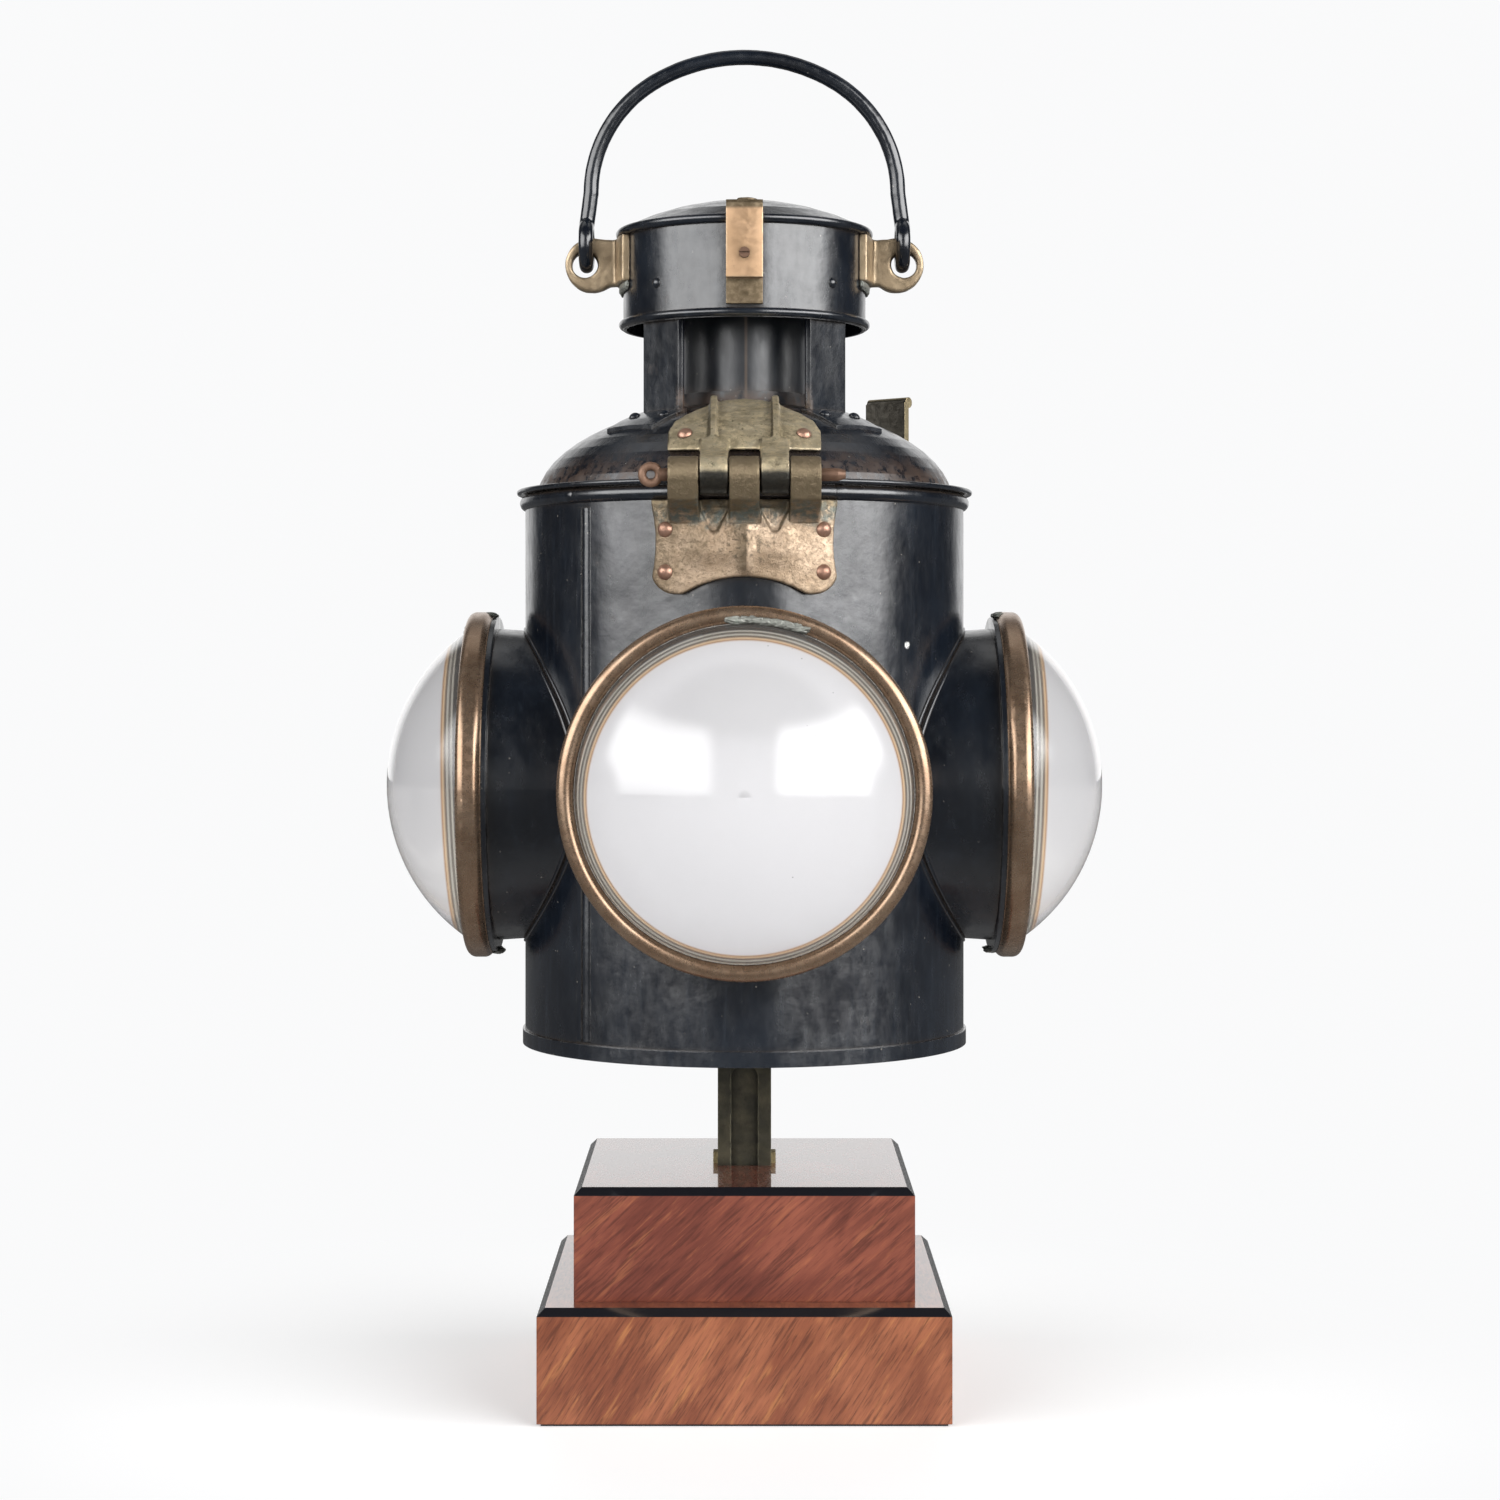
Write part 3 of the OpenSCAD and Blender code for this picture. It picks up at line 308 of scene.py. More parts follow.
def paint_black(name, streaks=1.0):
    """Black japanning over iron: soft dents, brush streaks, specks, and rust at the foot of the neck."""
    s = Shader(name, (0.005, 0.007, 0.011), 0.25, round_mm=0.5 * streaks)
    x, y, z = s.axes()
    colour = s.mix(s.ramp(s.noise(34, 5, 0.6), 0.35, 0.7), (0.0022, 0.0036, 0.0068), (0.0065, 0.0095, 0.015))
    streak = s.ramp(s.noise(2.6, 6, 0.65, stretch=(1, 1, 16)), 0.5, 0.78, 0, 0.7 * streaks)
    colour = s.mix(streak, colour, (0.014, 0.019, 0.027))
    brown = s.ramp(s.noise(13, 7, 0.7), 0.62, 0.8, 0, 0.25)
    ragged = s.math("ADD", z, s.times(s.math("SUBTRACT", s.noise(8, 6, 0.7), 0.5), 0.02))
    foot = s.times(s.ramp(z, RUST_FOOT_Z, RUST_FOOT_Z + 0.002),
                   s.ramp(ragged, RUST_FOOT_Z + 0.0155, RUST_FOOT_Z + 0.0025), 0.6)
    neck = s.ramp(s.math("ABSOLUTE", x), COLLAR_R, COLLAR_R - 0.001)
    collar = s.times(s.ramp(ragged, COLLAR_Z - 0.009, COLLAR_Z),
                     s.ramp(ragged, COLLAR_Z + 0.009, COLLAR_Z), neck, 0.8)
    rusty = s.times(s.math("ADD", foot, collar), s.ramp(s.noise(4, 7, 0.7), 0.36, 0.62))
    colour = s.mix(s.math("MAXIMUM", brown, rusty), colour, (0.095, 0.052, 0.029))
    # painted shade: brownish darkening in occluded corners
    colour = s.mix(s.times(s.occluded_corners(3), 0.55), colour, (0.045, 0.032, 0.022))
    colour = s.mix(s.specks(5, 0.1), colour, (0.13, 0.12, 0.105))
    if streaks:
        worn = s.times(s.edges(0.5), s.ramp(s.noise(6, 5, 0.6), 0.42, 0.66), 0.7)
        colour = s.mix(worn, colour, (0.11, 0.105, 0.1))
        chip = s.times(s.near(CHIP_AT, 0.0017, 0.0009), s.ramp(s.noise(1.4, 4, 0.6), 0.42, 0.5))
        colour = s.mix(chip, colour, (0.8, 0.8, 0.78))
        from_lap = s.math("ABSOLUTE", s.math("SUBTRACT", x, 0.0006))
        lap = s.times(s.ramp(from_lap, 0.0008, 0.0003), s.ramp(y, 0, -0.01), s.ramp(y, -0.03, -0.027),
                      s.ramp(z, NECK_LOW_Z, NECK_LOW_Z + 0.001),
                      s.ramp(z, NECK_MARKS_Z, NECK_MARKS_Z - 0.001))
        colour = s.mix(s.times(lap, 0.7), colour, (0.09, 0.06, 0.04))
    s.plug("Base Color", colour)
    sooty = s.times(neck, s.ramp(z, NECK_LOW_Z - 0.002, NECK_LOW_Z + 0.001),
                    s.ramp(z, NECK_MARKS_Z, NECK_MARKS_Z - 0.004), s.ramp(y, -0.034, -0.03), 0.16)
    dull = s.math("ADD", s.times(s.math("MAXIMUM", brown, rusty), 0.35), sooty)
    gloss = s.ramp(s.noise(5, 6, 0.66, stretch=(1, 1, 2.5)), 0.3, 0.75, 0.17, 0.3)
    s.plug("Roughness", s.math("ADD", gloss, dull))
    s.set("Specular IOR Level", 0.95)
    s.bump(s.noise(46, 2, 0.4), 0.9)
    s.bump(s.noise(17, 3, 0.5), 0.25)
    s.bump(s.noise(9, 4, 0.6), 0.09)
    s.bump(s.noise(2.6, 6, 0.65, stretch=(1, 1, 16)), 0.012 * streaks)
    s.bump(s.noise(0.8, 3, 0.6), 0.01)
    return s


def aged_metal(name, base, high, dark, roughness=0.38, metallic=0.85, lump=0.04, grain=0.02, corner_shade=0.6,
               green=None, wear=None, round_mm=0.4, patchy=1.0):
    """Old metal: lighter and darker patches, painted shade in occluded corners, worn edges. Its colour is
    kept in s.colour.
    """
    s = Shader(name, base, roughness, metallic, round_mm)
    colour = s.mix(s.ramp(s.noise(10, 6, 0.62), 0.35, 0.7), base, high)
    colour = s.mix(s.ramp(s.noise(3.4, 7, 0.7), 0.55, 0.78, 0, 0.7 * patchy), colour, dark)
    if green is not None:
        colour = s.mix(s.ramp(s.noise(5, 7, 0.72), 0.54, 0.7, 0, 0.7), colour, green)
    if wear is not None:
        colour = s.mix(s.times(s.edges(0.9), s.ramp(s.noise(5, 4, 0.6), 0.35, 0.55)), colour, wear)
    # painted shade: darkening in occluded corners, as strong as corner_shade
    colour = s.mix(s.times(s.occluded_corners(3.5), corner_shade), colour, tuple(c * 0.4 for c in dark))
    s.colour = colour
    s.plug("Base Color", colour)
    s.plug("Roughness", s.ramp(s.noise(2.6, 6, 0.65), 0.35, 0.72,
                               roughness - 0.08 * patchy, roughness + 0.18 * patchy))
    s.bump(s.noise(6, 5, 0.6), lump)
    s.bump(s.noise(0.7, 4, 0.7), grain)
    return s


def bezel_copper():
    return aged_metal("bezel_copper",
                      base=(0.29, 0.19, 0.125), high=(0.37, 0.26, 0.18), dark=(0.2, 0.13, 0.085),
                      roughness=0.27, metallic=0.85, lump=0.015, grain=0.003, corner_shade=0.35, patchy=0.35)


def hinge_bronze():
    """Cast bronze: olive round the knuckles, pink below them, verdigris between the two; painted shade on
    its left flanks and in corners, a painted highlight on its right flanks.
    """
    s = aged_metal("hinge_bronze",
                   base=(0.34, 0.245, 0.16), high=(0.5, 0.375, 0.265), dark=(0.2, 0.145, 0.09),
                   roughness=0.38, metallic=0.7, lump=0.2, grain=0.16, corner_shade=0.95, wear=(0.1, 0.075, 0.045),
                   round_mm=0.6)
    x, _, z = s.axes()
    ragged = s.math("ADD", z, s.times(s.math("SUBTRACT", s.noise(9, 5, 0.65), 0.5), 0.016))
    colour = s.mix(s.ramp(ragged, 0.3465, 0.3515), s.colour, (0.2, 0.155, 0.095))
    patches = s.ramp(s.noise(3, 6, 0.7), 0.38, 0.58)
    band = s.times(s.ramp(ragged, 0.3425, 0.3475), s.ramp(ragged, 0.3535, 0.349), patches)
    colour = s.mix(band, colour, (0.12, 0.15, 0.14))
    across = s.ramp(s.math("ABSOLUTE", x), 0.017, 0.004)
    middle = s.times(across, s.ramp(z, 0.327, 0.333), s.ramp(z, 0.35, 0.343))
    pits = s.times(middle, s.ramp(s.noise(2.2, 6, 0.75), 0.5, 0.62))
    colour = s.mix(s.times(pits, 0.75), colour, (0.06, 0.055, 0.04))
    # painted shade in occluded corners
    colour = s.mix(s.times(s.occluded_corners(4), 0.8), colour, (0.05, 0.042, 0.028))
    speckle = s.ramp(s.noise(1.5, 4, 0.8), 0.48, 0.62, 0, 0.5)
    colour = s.mix(speckle, colour, (0.17, 0.125, 0.08))
    # painted shade on faces turned to the left
    painted_shade = s.times(s.ramp(s.facing((-0.8, -0.6, 0)), 0.64, 0.9), s.ramp(z, 0.355, 0.35), 0.7)
    colour = s.mix(painted_shade, colour, (0.1, 0.075, 0.045))
    # painted highlight on faces turned to the right
    painted_highlight = s.times(s.ramp(s.facing((0.8, -0.6, 0)), 0.66, 1.0), s.ramp(z, 0.352, 0.347), 0.15)
    colour = s.mix(painted_highlight, colour, (0.72, 0.58, 0.44))
    s.plug("Base Color", colour)
    s.bump(s.math("MAXIMUM", pits, speckle), 0.1)
    return s


def olive_brass():
    """Brass gone olive, almost black on the lugs that turn between the knuckles; painted shade on faces
    turned to the left, above the lugs.
    """
    s = aged_metal("olive_brass",
                   base=(0.36, 0.3, 0.19), high=(0.56, 0.48, 0.34), dark=(0.1, 0.08, 0.05),
                   roughness=0.4, metallic=0.65, lump=0.35, grain=0.2, corner_shade=0.95,
                   green=(0.2, 0.22, 0.14), wear=(0.66, 0.54, 0.37), round_mm=0.6)
    _, y, z = s.axes()
    lugs = s.times(s.ramp(z, 0.3655, 0.3625), s.ramp(y, -0.0975, -0.0995))
    # painted shade on faces turned to the left
    painted_shade = s.times(s.ramp(s.facing((-0.8, -0.6, 0)), 0.5, 0.8), s.ramp(z, 0.374, 0.378), 0.85)
    colour = s.mix(s.ramp(s.noise(4, 7, 0.75), 0.46, 0.6, 0, 0.8), s.colour, (0.64, 0.53, 0.34))
    colour = s.mix(s.ramp(s.noise(2.5, 7, 0.75), 0.54, 0.66, 0, 0.8), colour, (0.13, 0.105, 0.06))
    colour = s.mix(painted_shade, colour, (0.07, 0.058, 0.036))
    colour = s.mix(s.times(lugs, 0.95), colour, (0.008, 0.009, 0.01))
    s.plug("Base Color", colour)
    return s


def catch_brass():
    """The catch: olive brass on its edges and outer face, with painted shade, almost black, on the face
    towards the lamp.
    """
    s = aged_metal("catch_brass",
                   base=(0.24, 0.2, 0.12), high=(0.34, 0.28, 0.17), dark=(0.1, 0.08, 0.05),
                   roughness=0.42, metallic=0.7, lump=0.06, grain=0.04, corner_shade=0.7,
                   green=(0.16, 0.19, 0.12), wear=(0.5, 0.4, 0.24), round_mm=0.5)
    # painted shade: the face towards the lamp is darkened almost to black
    inner = s.times(s.ramp(s.facing((0.643, 0.766, 0)), -0.6, -0.9), 0.93)
    s.plug("Base Color", s.mix(inner, s.colour, (0.03, 0.028, 0.025)))
    return s


def lug_brass():
    return aged_metal("lug_brass",
                      base=(0.33, 0.25, 0.16), high=(0.44, 0.34, 0.225), dark=(0.13, 0.1, 0.065),
                      roughness=0.38, metallic=0.75, lump=0.05, grain=0.03, corner_shade=0.9, wear=(0.6, 0.48, 0.34),
                      round_mm=0.7)


def clip_copper():
    """Rolled brass strap: tan on its flat, olive where it bends over the cap and under the drum."""
    s = aged_metal("clip_copper",
                   base=(0.5, 0.32, 0.185), high=(0.6, 0.39, 0.235), dark=(0.32, 0.2, 0.12),
                   roughness=0.36, metallic=0.7, lump=0.02, grain=0.012, corner_shade=0.7, wear=(0.72, 0.54, 0.36),
                   round_mm=0.5)
    _, _, z = s.axes()
    bends = s.math("MAXIMUM", s.ramp(z, 0.4694, 0.4708), s.ramp(z, 0.4436, 0.4422))
    mottled = s.mix(s.ramp(s.noise(3, 5, 0.65), 0.4, 0.65), (0.1, 0.078, 0.045), (0.21, 0.165, 0.105))
    s.plug("Base Color", s.mix(s.times(bends, 0.92), s.colour, mottled))
    return s


def rivet_copper():
    return aged_metal("rivet_copper",
                      base=(0.36, 0.205, 0.145), high=(0.48, 0.3, 0.22), dark=(0.15, 0.08, 0.05),
                      roughness=0.36, metallic=0.75, lump=0.14, grain=0.06)


def pin_rust():
    return aged_metal("pin_rust",
                      base=(0.14, 0.078, 0.05), high=(0.22, 0.13, 0.085), dark=(0.05, 0.028, 0.02),
                      roughness=0.5, metallic=0.5, lump=0.1, grain=0.05)


def iron_green():
    return aged_metal("iron_green",
                      base=(0.033, 0.031, 0.021), high=(0.07, 0.061, 0.038), dark=(0.014, 0.013, 0.009),
                      roughness=0.4, metallic=0.5, lump=0.08, grain=0.04, wear=(0.12, 0.11, 0.07))


def steel():
    return aged_metal("steel",
                      base=(0.4, 0.4, 0.4), high=(0.5, 0.5, 0.5), dark=(0.2, 0.18, 0.16))


def tinplate():
    return aged_metal("tinplate",
                      base=(0.55, 0.53, 0.48), high=(0.66, 0.64, 0.58), dark=(0.28, 0.2, 0.13),
                      roughness=0.3, metallic=0.9, lump=0.02, grain=0.01)


def liner_tin():
    """Tinned ring inside a hood, tarnished tan further in."""
    return aged_metal("liner_tin",
                      base=(0.66, 0.6, 0.5), high=(0.76, 0.71, 0.62), dark=(0.5, 0.33, 0.18),
                      roughness=0.3, metallic=0.6, lump=0.02, grain=0.01, corner_shade=0.2)


def solder():
    return aged_metal("solder_grey",
                      base=(0.2, 0.205, 0.185), high=(0.3, 0.305, 0.275), dark=(0.1, 0.1, 0.085),
                      roughness=0.45, metallic=0.6, lump=0.2, grain=0.06, corner_shade=0.6, green=(0.15, 0.18, 0.15))


def burner_brass():
    return aged_metal("burner_brass",
                      base=(0.55, 0.4, 0.17), high=(0.66, 0.5, 0.24), dark=(0.2, 0.13, 0.06), roughness=0.33)


def glass():
    """Pressed glass, faintly lilac, with a few flecks and fine scratches; near its edge a painted reflection
    of the ridged tinned liner and copper bezel, and painted shade just inside the bezel.
    """
    s = Shader("lens_glass", (0.985, 0.978, 0.995), 0.07)
    x, y, z = s.axes()
    side = s.math("MINIMUM", s.math("ABSOLUTE", x), s.math("ABSOLUTE", y))
    up = s.math("SUBTRACT", z, LENS_Z)
    lift = s.math("ADD", up, 0.0012)
    from_axis = s.math("SQRT", s.math("ADD", s.times(side, side), s.times(lift, lift)))
    colour = s.mix(s.times(s.specks(7, 0.06, 0.045), 0.8), (0.988, 0.98, 0.997), (0.12, 0.1, 0.09))
    # painted reflection of the ridged tinned liner (silver) and the copper bezel (tan) near the lens edge;
    # the outermost dark band is painted shade just inside the bezel
    reflected_ridges = s.ramp(s.math("SINE", s.times(from_axis, 2 * math.pi / 0.0014)), -0.6, 0.6)
    reflected_tin = s.mix(reflected_ridges, (0.2, 0.175, 0.14), (0.62, 0.58, 0.5))
    tan = s.mix(reflected_ridges, (0.62, 0.32, 0.12), (0.9, 0.6, 0.33))
    ring = s.mix(s.ramp(from_axis, 0.0588, 0.0602), tan, reflected_tin)
    ring = s.mix(s.ramp(from_axis, 0.0619, 0.0625), ring, (0.06, 0.05, 0.04))
    s.plug("Base Color", s.mix(s.ramp(from_axis, 0.0578, 0.0588, 0, 0.92), colour, ring))
    s.set("Transmission Weight", 0.63)
    s.set("Coat Weight", 0.35)
    s.set("Coat Roughness", 0.02)
    s.set("IOR", 1.5)
    s.bump(s.noise(30, 2, 0.5), 0.03)
    return s


def tinted(colour, tint):
    return tuple(min(1, c * t) for c, t in zip(colour, tint))


def wood(name, dark, light, tilt):
    """Lacquered timber, its figure and grain rising across the front at a slant, with the bevels painted
    near black as a painted reflection of the dark room.
    """
    s = Shader(name, light, 0.4, round_mm=0.9)
    up = s.facing((0, 0, 1))
    turn = s.nodes.new("ShaderNodeMapping")
    turn.inputs["Rotation"].default_value = (0, tilt, 0)
    s.links.new(s.coord, turn.inputs["Vector"])
    s.coord = turn.outputs[0]
    grain = s.noise(1.1, 6, 0.68, stretch=(14, 8, 1), distort=0.2)
    figure = s.noise(22, 3, 0.5, stretch=(1.8, 1.8, 1), distort=0.5)
    bands = s.noise(3.6, 4, 0.6, stretch=(8, 5, 1), distort=0.3)
    colour = s.mix(s.ramp(figure, 0.32, 0.68), dark, light)
    colour = s.mix(s.ramp(bands, 0.46, 0.62, 0, 0.45), colour, tinted(dark, (0.7, 0.7, 0.7)))
    colour = s.mix(s.ramp(bands, 0.42, 0.3, 0, 0.4), colour, tinted(light, (1.5, 1.9, 1.4)))
    colour = s.mix(s.ramp(grain, 0.48, 0.64, 0, 0.62), colour, tinted(dark, (0.36, 0.36, 0.36)))
    colour = s.mix(s.ramp(grain, 0.44, 0.28, 0, 0.4), colour, tinted(light, (1.5, 1.7, 1.3)))
    colour = s.mix(s.times(s.specks(9, 0.02, 0.03, (5, 1, 1)), 0.8), colour, (0.6, 0.45, 0.33))
    # painted reflection: bevels painted near black for the dark room they mirror
    bevel = s.times(s.ramp(up, 0.12, 0.3), s.ramp(up, 0.97, 0.9))
    colour = s.mix(bevel, colour, (0.004, 0.004, 0.006))
    s.plug("Base Color", colour)
    s.set("Specular IOR Level", 0.3)
    s.set("Coat Weight", 1.0)
    s.set("Coat Roughness", 0.03)
    s.bump(grain, 0.0012)
    return s


def cloth(name, colour):
    s = Shader(name, colour, 0.9)
    threads = s.ramp(s.noise(1.2, 5, 0.7), 0.3, 0.7)
    s.plug("Base Color", s.mix(threads, tinted(colour, (0.6, 0.6, 0.6)), colour))
    s.bump(s.noise(0.7, 4, 0.7), 0.15)
    return s


MATERIALS = {
    "felt": cloth("felt", (0.03, 0.03, 0.03)).material,
    "wood_lower": wood("wood_lower", (0.16, 0.043, 0.018), (0.275, 0.092, 0.041), 1.0).material,
    "wood_upper": wood("wood_upper", (0.125, 0.029, 0.017), (0.215, 0.06, 0.034), 0.75).material,
    "black_iron": iron_green().material,
    "steel": steel().material,
    "wedge": cloth("wedge_wood", (0.3, 0.24, 0.12)).material,
    "black_japan": paint_black("black_japan").material,
    "glass": glass().material,
    "packing": cloth("packing", (0.16, 0.15, 0.13)).material,
    "bezel_brass": bezel_copper().material,
    "hinge_bronze": hinge_bronze().material,
    "olive_brass": olive_brass().material,
    "copper_rivet": rivet_copper().material,
    "pin_iron": pin_rust().material,
    "clip_brass": clip_copper().material,
    "lug_brass": lug_brass().material,
    "tinplate": tinplate().material,
    "burner_brass": burner_brass().material,
    "wick_cotton": cloth("wick_cotton", (0.75, 0.7, 0.6)).material,
}
CATCH = catch_brass().material
LINER = liner_tin().material
SOLDER = solder().material
PUTTY = cloth("putty", (0.62, 0.59, 0.55)).material
SLOT_OF = {part["node"]: part["material_slot"] for part in frame["record"]["subparts"]}
OWN_MATERIAL = {"catch_lever": CATCH, "bail": paint_black("black_rod", 0.0).material}


def dress_nodes():
    for name, node in NODES.items():
        node.data.materials.clear()
        node.data.materials.append(OWN_MATERIAL.get(name, MATERIALS[SLOT_OF[name]]))
        for polygon in node.data.polygons:
            polygon.use_smooth = True
        modifier = node.modifiers.new("smooth", "EDGE_SPLIT")
        modifier.split_angle = math.radians(35)


# ---- Pieces made here ----

def piece(name, mesh, body, material):
    """Puts a finished mesh on a body with its material."""
    obj = bpy.data.objects.new(name, mesh)
    bpy.context.scene.collection.objects.link(obj)
    for polygon in mesh.polygons:
        polygon.use_smooth = True
    mesh.materials.clear()
    mesh.materials.append(material)
    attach(obj, body)
    return obj


def sweep(bm, points, radius, closed=False, sides=10):
    """Adds a round bar along points. radius is a number, or a function of how far along from 0 to 1."""
    count = len(points)
    rings = []
    for i, p in enumerate(points):
        before = points[(i - 1) % count if closed else max(i - 1, 0)]
        after = points[(i + 1) % count if closed else min(i + 1, count - 1)]
        along = (after - before).normalized()
        out = along.orthogonal() if not rings else (last - along * last.dot(along))
        out.normalize()
        last = out
        turn = along.cross(out)
        r = radius(i / (count - 1)) if callable(radius) else radius
        rings.append([bm.verts.new(p + (out * math.cos(t) + turn * math.sin(t)) * r)
                      for t in (2 * math.pi * k / sides for k in range(sides))])
    for i in range(count if closed else count - 1):
        a, b = rings[i], rings[(i + 1) % count]
        shift = 0
        if closed and i == count - 1:
            shift = min(range(sides), key=lambda s: (a[0].co - b[s].co).length)
        for k in range(sides):
            bm.faces.new((a[k], a[(k + 1) % sides], b[(k + 1 + shift) % sides], b[(k + shift) % sides]))
    if not closed:
        bm.faces.new(list(reversed(rings[0])))
        bm.faces.new(rings[-1])


def lathe(bm, profile, segments=128):
    """Adds a closed ring turned about +Z from (radius, height) pairs."""
    rings = [[bm.verts.new((r * math.cos(t), r * math.sin(t), h)) for r, h in profile]
             for t in (2 * math.pi * k / segments for k in range(segments))]
    for k in range(segments):
        a, b = rings[k], rings[(k + 1) % segments]
        for i in range(len(profile)):
            j = (i + 1) % len(profile)
            bm.faces.new((a[i], b[i], b[j], a[j]))


def lump(bm, centre, size, seed, rough=0.22):
    """Adds an irregular blob of solder."""
    made = bmesh.ops.create_icosphere(bm, subdivisions=4, radius=1)["verts"]
    for v in made:
        wave = noise.fractal(v.co * 1.6 + Vector((seed, 2 * seed, 0)), 0.7, 2.1, 4)
        v.co *= 1 + rough * wave
        v.co = Vector((v.co.x * size[0], v.co.y * size[1], v.co.z * size[2])) + Vector(centre)


def finish_mesh(bm, name, matrix=None):
    if matrix is not None:
        bm.transform(matrix)
    bmesh.ops.recalc_face_normals(bm, faces=bm.faces)
    mesh = bpy.data.meshes.new(name)
    bm.to_mesh(mesh)
    bm.free()
    return mesh


def side_matrix(index):
    """From front-lens directions to another side's."""
    return Matrix.Rotation(index * math.pi / 2, 4, "Z")


HOOD_R = 0.061        # outside of a hood
WALL_R = 0.0892       # outside of the body sheet
LINER_R = 0.0588      # mean inner radius of a hood's tinned ring
LINER_BACK = 0.0840   # its two ends, as distances from the lamp's axis
LINER_FRONT = 0.1015
LINER_STEPS = 47
PUTTY_R = 0.06346     # outside of the putty, just inside the bezel
PUTTY_BACK = 0.1063   # its two ends, as distances from the lamp's axis
PUTTY_FRONT = 0.1112
BEZEL_SOLDER_R = 0.0648  # line of the solder on a bezel's face
JOINT_SOLDER_R = 0.069   # line of the solder over the joint behind a bezel
LUG_SOLDER_R = 0.0499    # middle of the solder below a lug, just outside the drum


def add_hood_seams():
    """Soldered seam where each hood meets the body: a ridge on the body and a thinner one on the hood."""
    for index, side in enumerate(SIDES):
        bm = bmesh.new()
        for ring_r, bar_r, out in ((HOOD_R + 0.0024, 0.0007, 0.0), (HOOD_R + 0.0004, 0.0009, 0.0009)):
            points = []
            for k in range(96):
                t = 2 * math.pi * k / 96
                x = ring_r * math.cos(t)
                y = -math.sqrt(WALL_R ** 2 - x * x) - out
                points.append(Vector((x, y, LENS_Z + ring_r * math.sin(t))))
            sweep(bm, points, bar_r, closed=True)
        mesh = finish_mesh(bm, "hood_seam_" + side, side_matrix(index))
        piece("hood_seam_" + side, mesh, "root", MATERIALS["black_japan"])


def add_liners():
    """Finely ridged tinned ring inside each hood, close behind the lens."""
    step = (LINER_FRONT - LINER_BACK) / LINER_STEPS
    inner = [(LINER_R + 0.00022 * math.cos(2.2 * i), LINER_BACK + step * i) for i in range(LINER_STEPS + 1)]
    profile = [(LINER_R + 0.0008, LINER_BACK)] + inner + [(LINER_R + 0.0008, LINER_FRONT)]
    lay = Matrix.Translation((0, 0, LENS_Z)) @ Matrix.Rotation(math.pi / 2, 4, "X")
    for index, side in enumerate(SIDES):
        bm = bmesh.new()
        lathe(bm, profile)
        mesh = finish_mesh(bm, "liner_" + side, side_matrix(index) @ lay)
        piece("liner_" + side, mesh, "root", LINER)


def add_putty():
    """Glazing putty in the gap round each lens, inside its bezel."""
    inside = PUTTY_R - 0.00012
    profile = [(inside, PUTTY_BACK), (PUTTY_R, PUTTY_BACK), (PUTTY_R, PUTTY_FRONT), (inside, PUTTY_FRONT)]
    lay = Matrix.Translation((0, 0, LENS_Z)) @ Matrix.Rotation(math.pi / 2, 4, "X")
    for index, side in enumerate(SIDES):
        bm = bmesh.new()
        lathe(bm, profile)
        mesh = finish_mesh(bm, "putty_" + side, side_matrix(index) @ lay)
        piece("putty_" + side, mesh, "root", PUTTY)


def add_bezel_solder():
    """Solder between bezel and lens at the top, over the joint behind it, and a tab below."""
    for index, side in enumerate(SIDES):
        bm = bmesh.new()
        for k in range(9):
            t = math.radians(93 - k * 2.75)
            at = (BEZEL_SOLDER_R * math.cos(t), -0.1116, LENS_Z + BEZEL_SOLDER_R * math.sin(t))
            lump(bm, at, (0.0036, 0.001, 0.0015), k + index, 0.4)
        for k, angle in enumerate((97, 92, 86)):
            t = math.radians(angle)
            at = (JOINT_SOLDER_R * math.cos(t), -0.1035, LENS_Z + JOINT_SOLDER_R * math.sin(t))
            lump(bm, at, (0.0036, 0.0026, 0.0012), 9 + k)
        lump(bm, (0.002, -0.1005, LENS_Z - 0.0675), (0.0045, 0.003, 0.0016), 20 + index)
        mesh = finish_mesh(bm, "bezel_solder_" + side, side_matrix(index))
        piece("bezel_solder_" + side, mesh, "root", SOLDER)


def add_rim_joints():
    """Round ends of the two lengths of wire that make the rim bead."""
    low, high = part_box("rim_bead")
    bar = (high.z - low.z) / 2
    ring = high.x - bar
    bm = bmesh.new()
    for angle in (-48.8, 24.1):
        points = []
        for k in range(13):
            t = math.radians(angle - 3 + 6 * k / 12)
            points.append(Vector((ring * math.sin(t), -ring * math.cos(t), (low.z + high.z) / 2)))
        sweep(bm, points, lambda u: bar * (0.35 + 0.75 * math.sin(math.pi * u) ** 0.35), sides=14)
    piece("rim_joints", finish_mesh(bm, "rim_joints"), "root", MATERIALS["black_japan"])


def smooth_step(low, high, value):
    """0 at low, 1 at high, smooth between; low may be the larger."""
    t = max(0.0, min(1.0, (value - low) / (high - low)))
    return t * t * (3 - 2 * t)


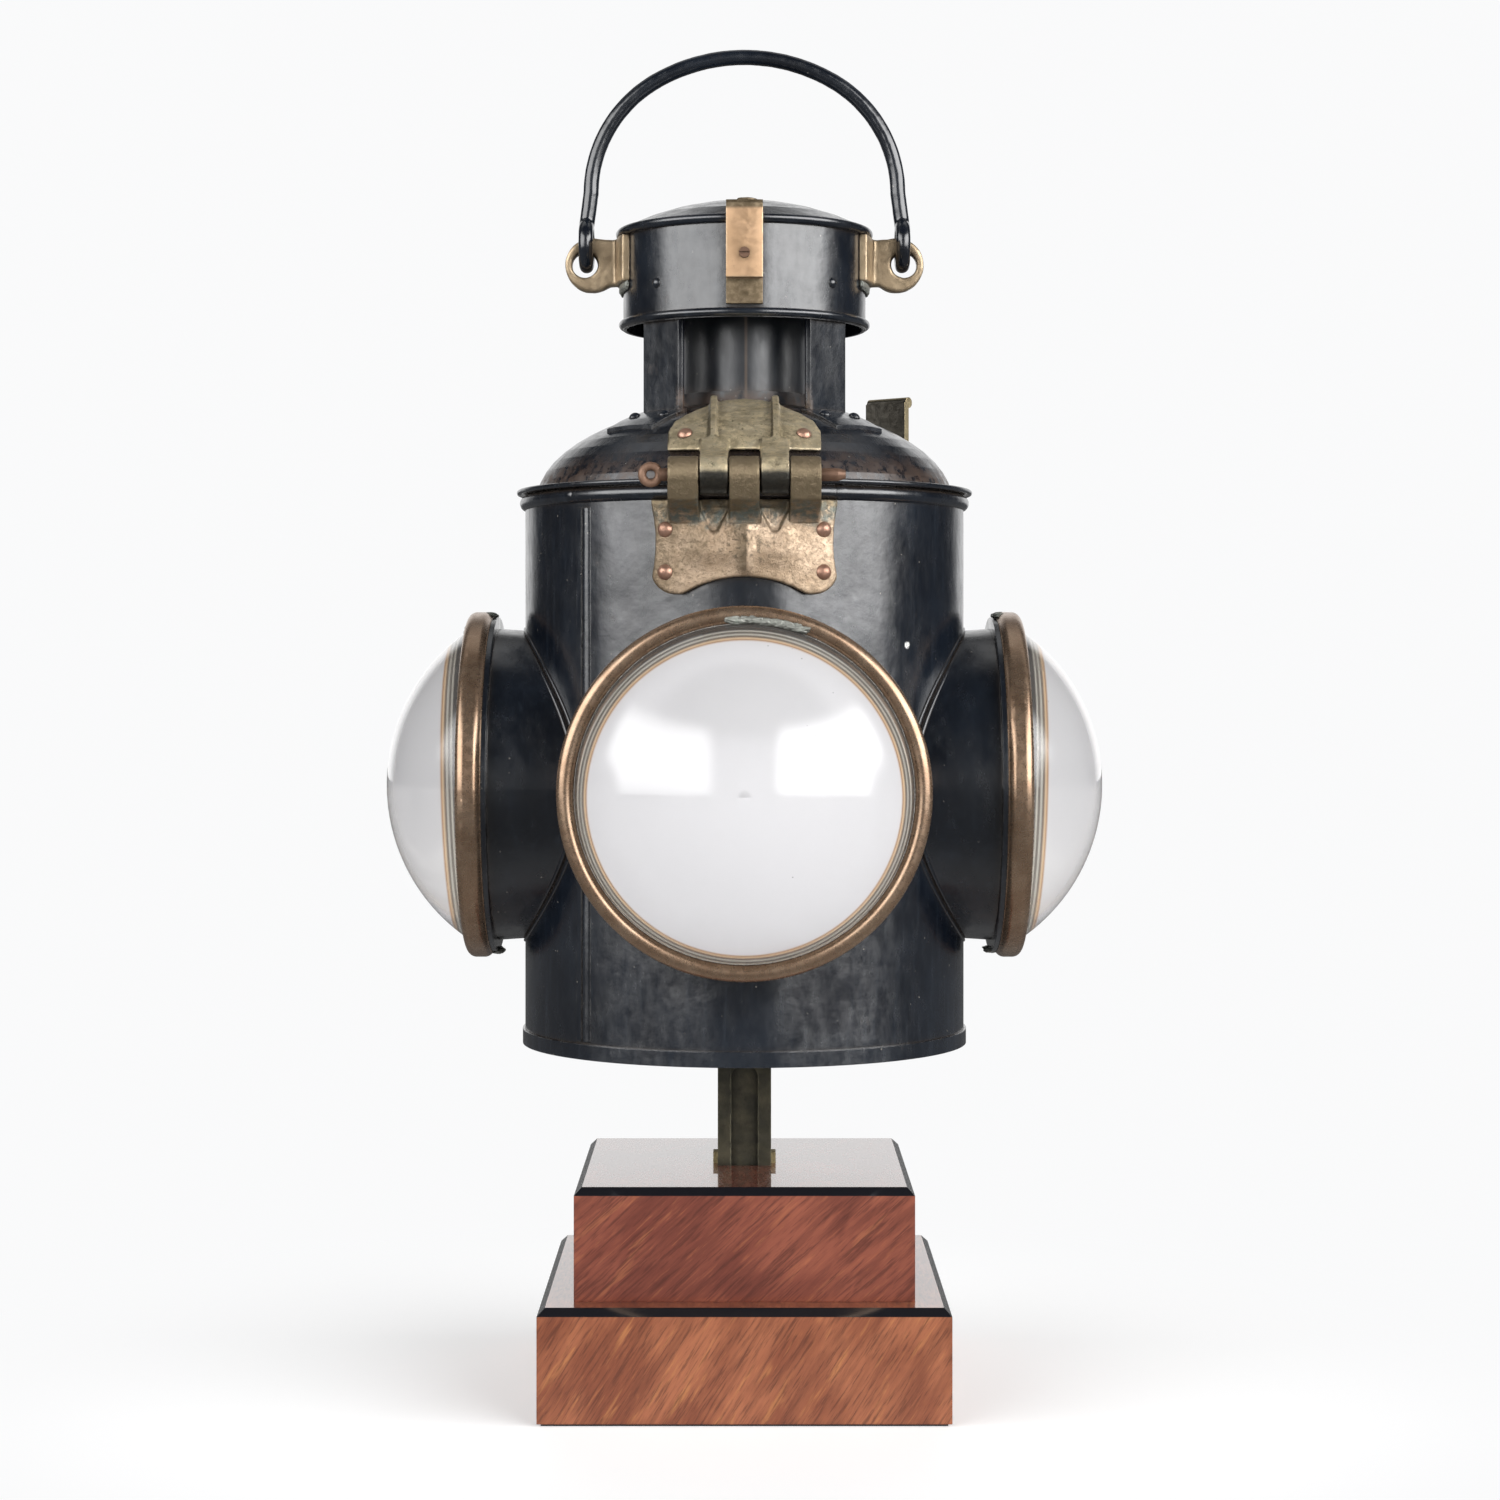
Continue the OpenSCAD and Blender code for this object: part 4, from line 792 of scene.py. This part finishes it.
def cast(node, name, voxel, passes, body, shape=None, rough_mm=0.12):
    """Replaces a node by a casting of the same form, with soft edges, a lumpy skin and shape()'s relief."""
    copy = bpy.data.objects.new(name, NODES[node].data.copy())
    bpy.context.scene.collection.objects.link(copy)
    remesh = copy.modifiers.new("remesh", "REMESH")
    remesh.mode = "VOXEL"
    remesh.voxel_size = voxel
    smooth = copy.modifiers.new("smooth", "SMOOTH")
    smooth.factor = 0.5
    smooth.iterations = passes
    bpy.context.view_layer.update()
    mesh = bpy.data.meshes.new_from_object(copy.evaluated_get(bpy.context.evaluated_depsgraph_get()))
    bpy.data.objects.remove(copy)
    normals = [v.normal.copy() for v in mesh.vertices]
    for v, n in zip(mesh.vertices, normals):
        wave = noise.fractal(v.co * 260, 0.8, 2.0, 3)
        move = n * wave * rough_mm * MM
        if shape is not None:
            move += shape(v.co, n)
        v.co += move
    made = piece(name, mesh, body, OWN_MATERIAL.get(node, MATERIALS[SLOT_OF[node]]))
    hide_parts(node)
    return made


def leaf_relief(p, n):
    """Knuckles that run out into the lower hinge leaf, and a ridge down the leaf's middle."""
    x, z = p.x * 1000, p.z * 1000
    front = max(0.0, -n.y)
    proud = math.hypot(p.x, p.y) - LEAF_R
    if z > 351 or (front < 0.3 and proud <= 0):
        return Vector((0, 0, 0))
    if proud > 0.0004:
        return Vector((-p.x, -p.y, 0)).normalized() * (proud - 0.0003) * smooth_step(351, 344, z)
    width = 2.3 + 4.2 * smooth_step(337, 350, z)
    ends = smooth_step(323, 329, z) * smooth_step(354, 350, z)
    ridge = 2.6 * math.exp(-abs((x - 1) / width) ** 1.25) * ends
    swell = 1.1 * smooth_step(25, 13, abs(x)) * smooth_step(346, 338, z) * smooth_step(326, 335, z)
    return Vector((0, -1, 0)) * (ridge + swell) * front * MM


def add_castings():
    cast("hinge_body_leaf", "hinge_lower_casting", 0.0006, 5, "root", leaf_relief)
    cast("hinge_lid_leaf", "hinge_upper_casting", 0.0006, 4, "lid")
    for side in ("left", "right"):
        cast("lug_" + side, f"lug_{side}_casting", 0.0006, 5, "lid")
    cast("bail", "bail_rod", 0.0006, 4, "bail", rough_mm=0.06)


def add_clip_nub():
    low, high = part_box("clip_front")
    bm = bmesh.new()
    lump(bm, (0.0008, low.y + 0.0125, high.z - 0.0004), (0.0042, 0.0024, 0.0011), 5, 0.15)
    piece("clip_nub", finish_mesh(bm, "clip_nub"), "lid", MATERIALS["clip_brass"])


def add_lug_solder():
    """Lumpy fillets of solder below the bail lugs, against the drum."""
    drum_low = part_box("vent_drum")[0].z
    for sign, side in ((-1, "left"), (1, "right")):
        bm = bmesh.new()
        for k in range(25):
            t = math.radians(-19 + 38 * k / 24)
            drop = 0.0010 * (1 - abs(k - 12) / 16)
            at = (sign * LUG_SOLDER_R * math.cos(t), LUG_SOLDER_R * math.sin(t), drum_low + 0.0174 - drop)
            lump(bm, at, (0.0011, 0.0017, 0.0022), k + 3, 0.25)
        name = "lug_solder_" + side
        piece(name, finish_mesh(bm, name), "lid", SOLDER)


make_camera()
make_world()
make_floor()
bpy.context.scene.view_settings.view_transform = "Standard"
dress_nodes()
add_hood_seams()
add_liners()
add_putty()
add_bezel_solder()
add_rim_joints()
add_castings()
add_clip_nub()
add_lug_solder()
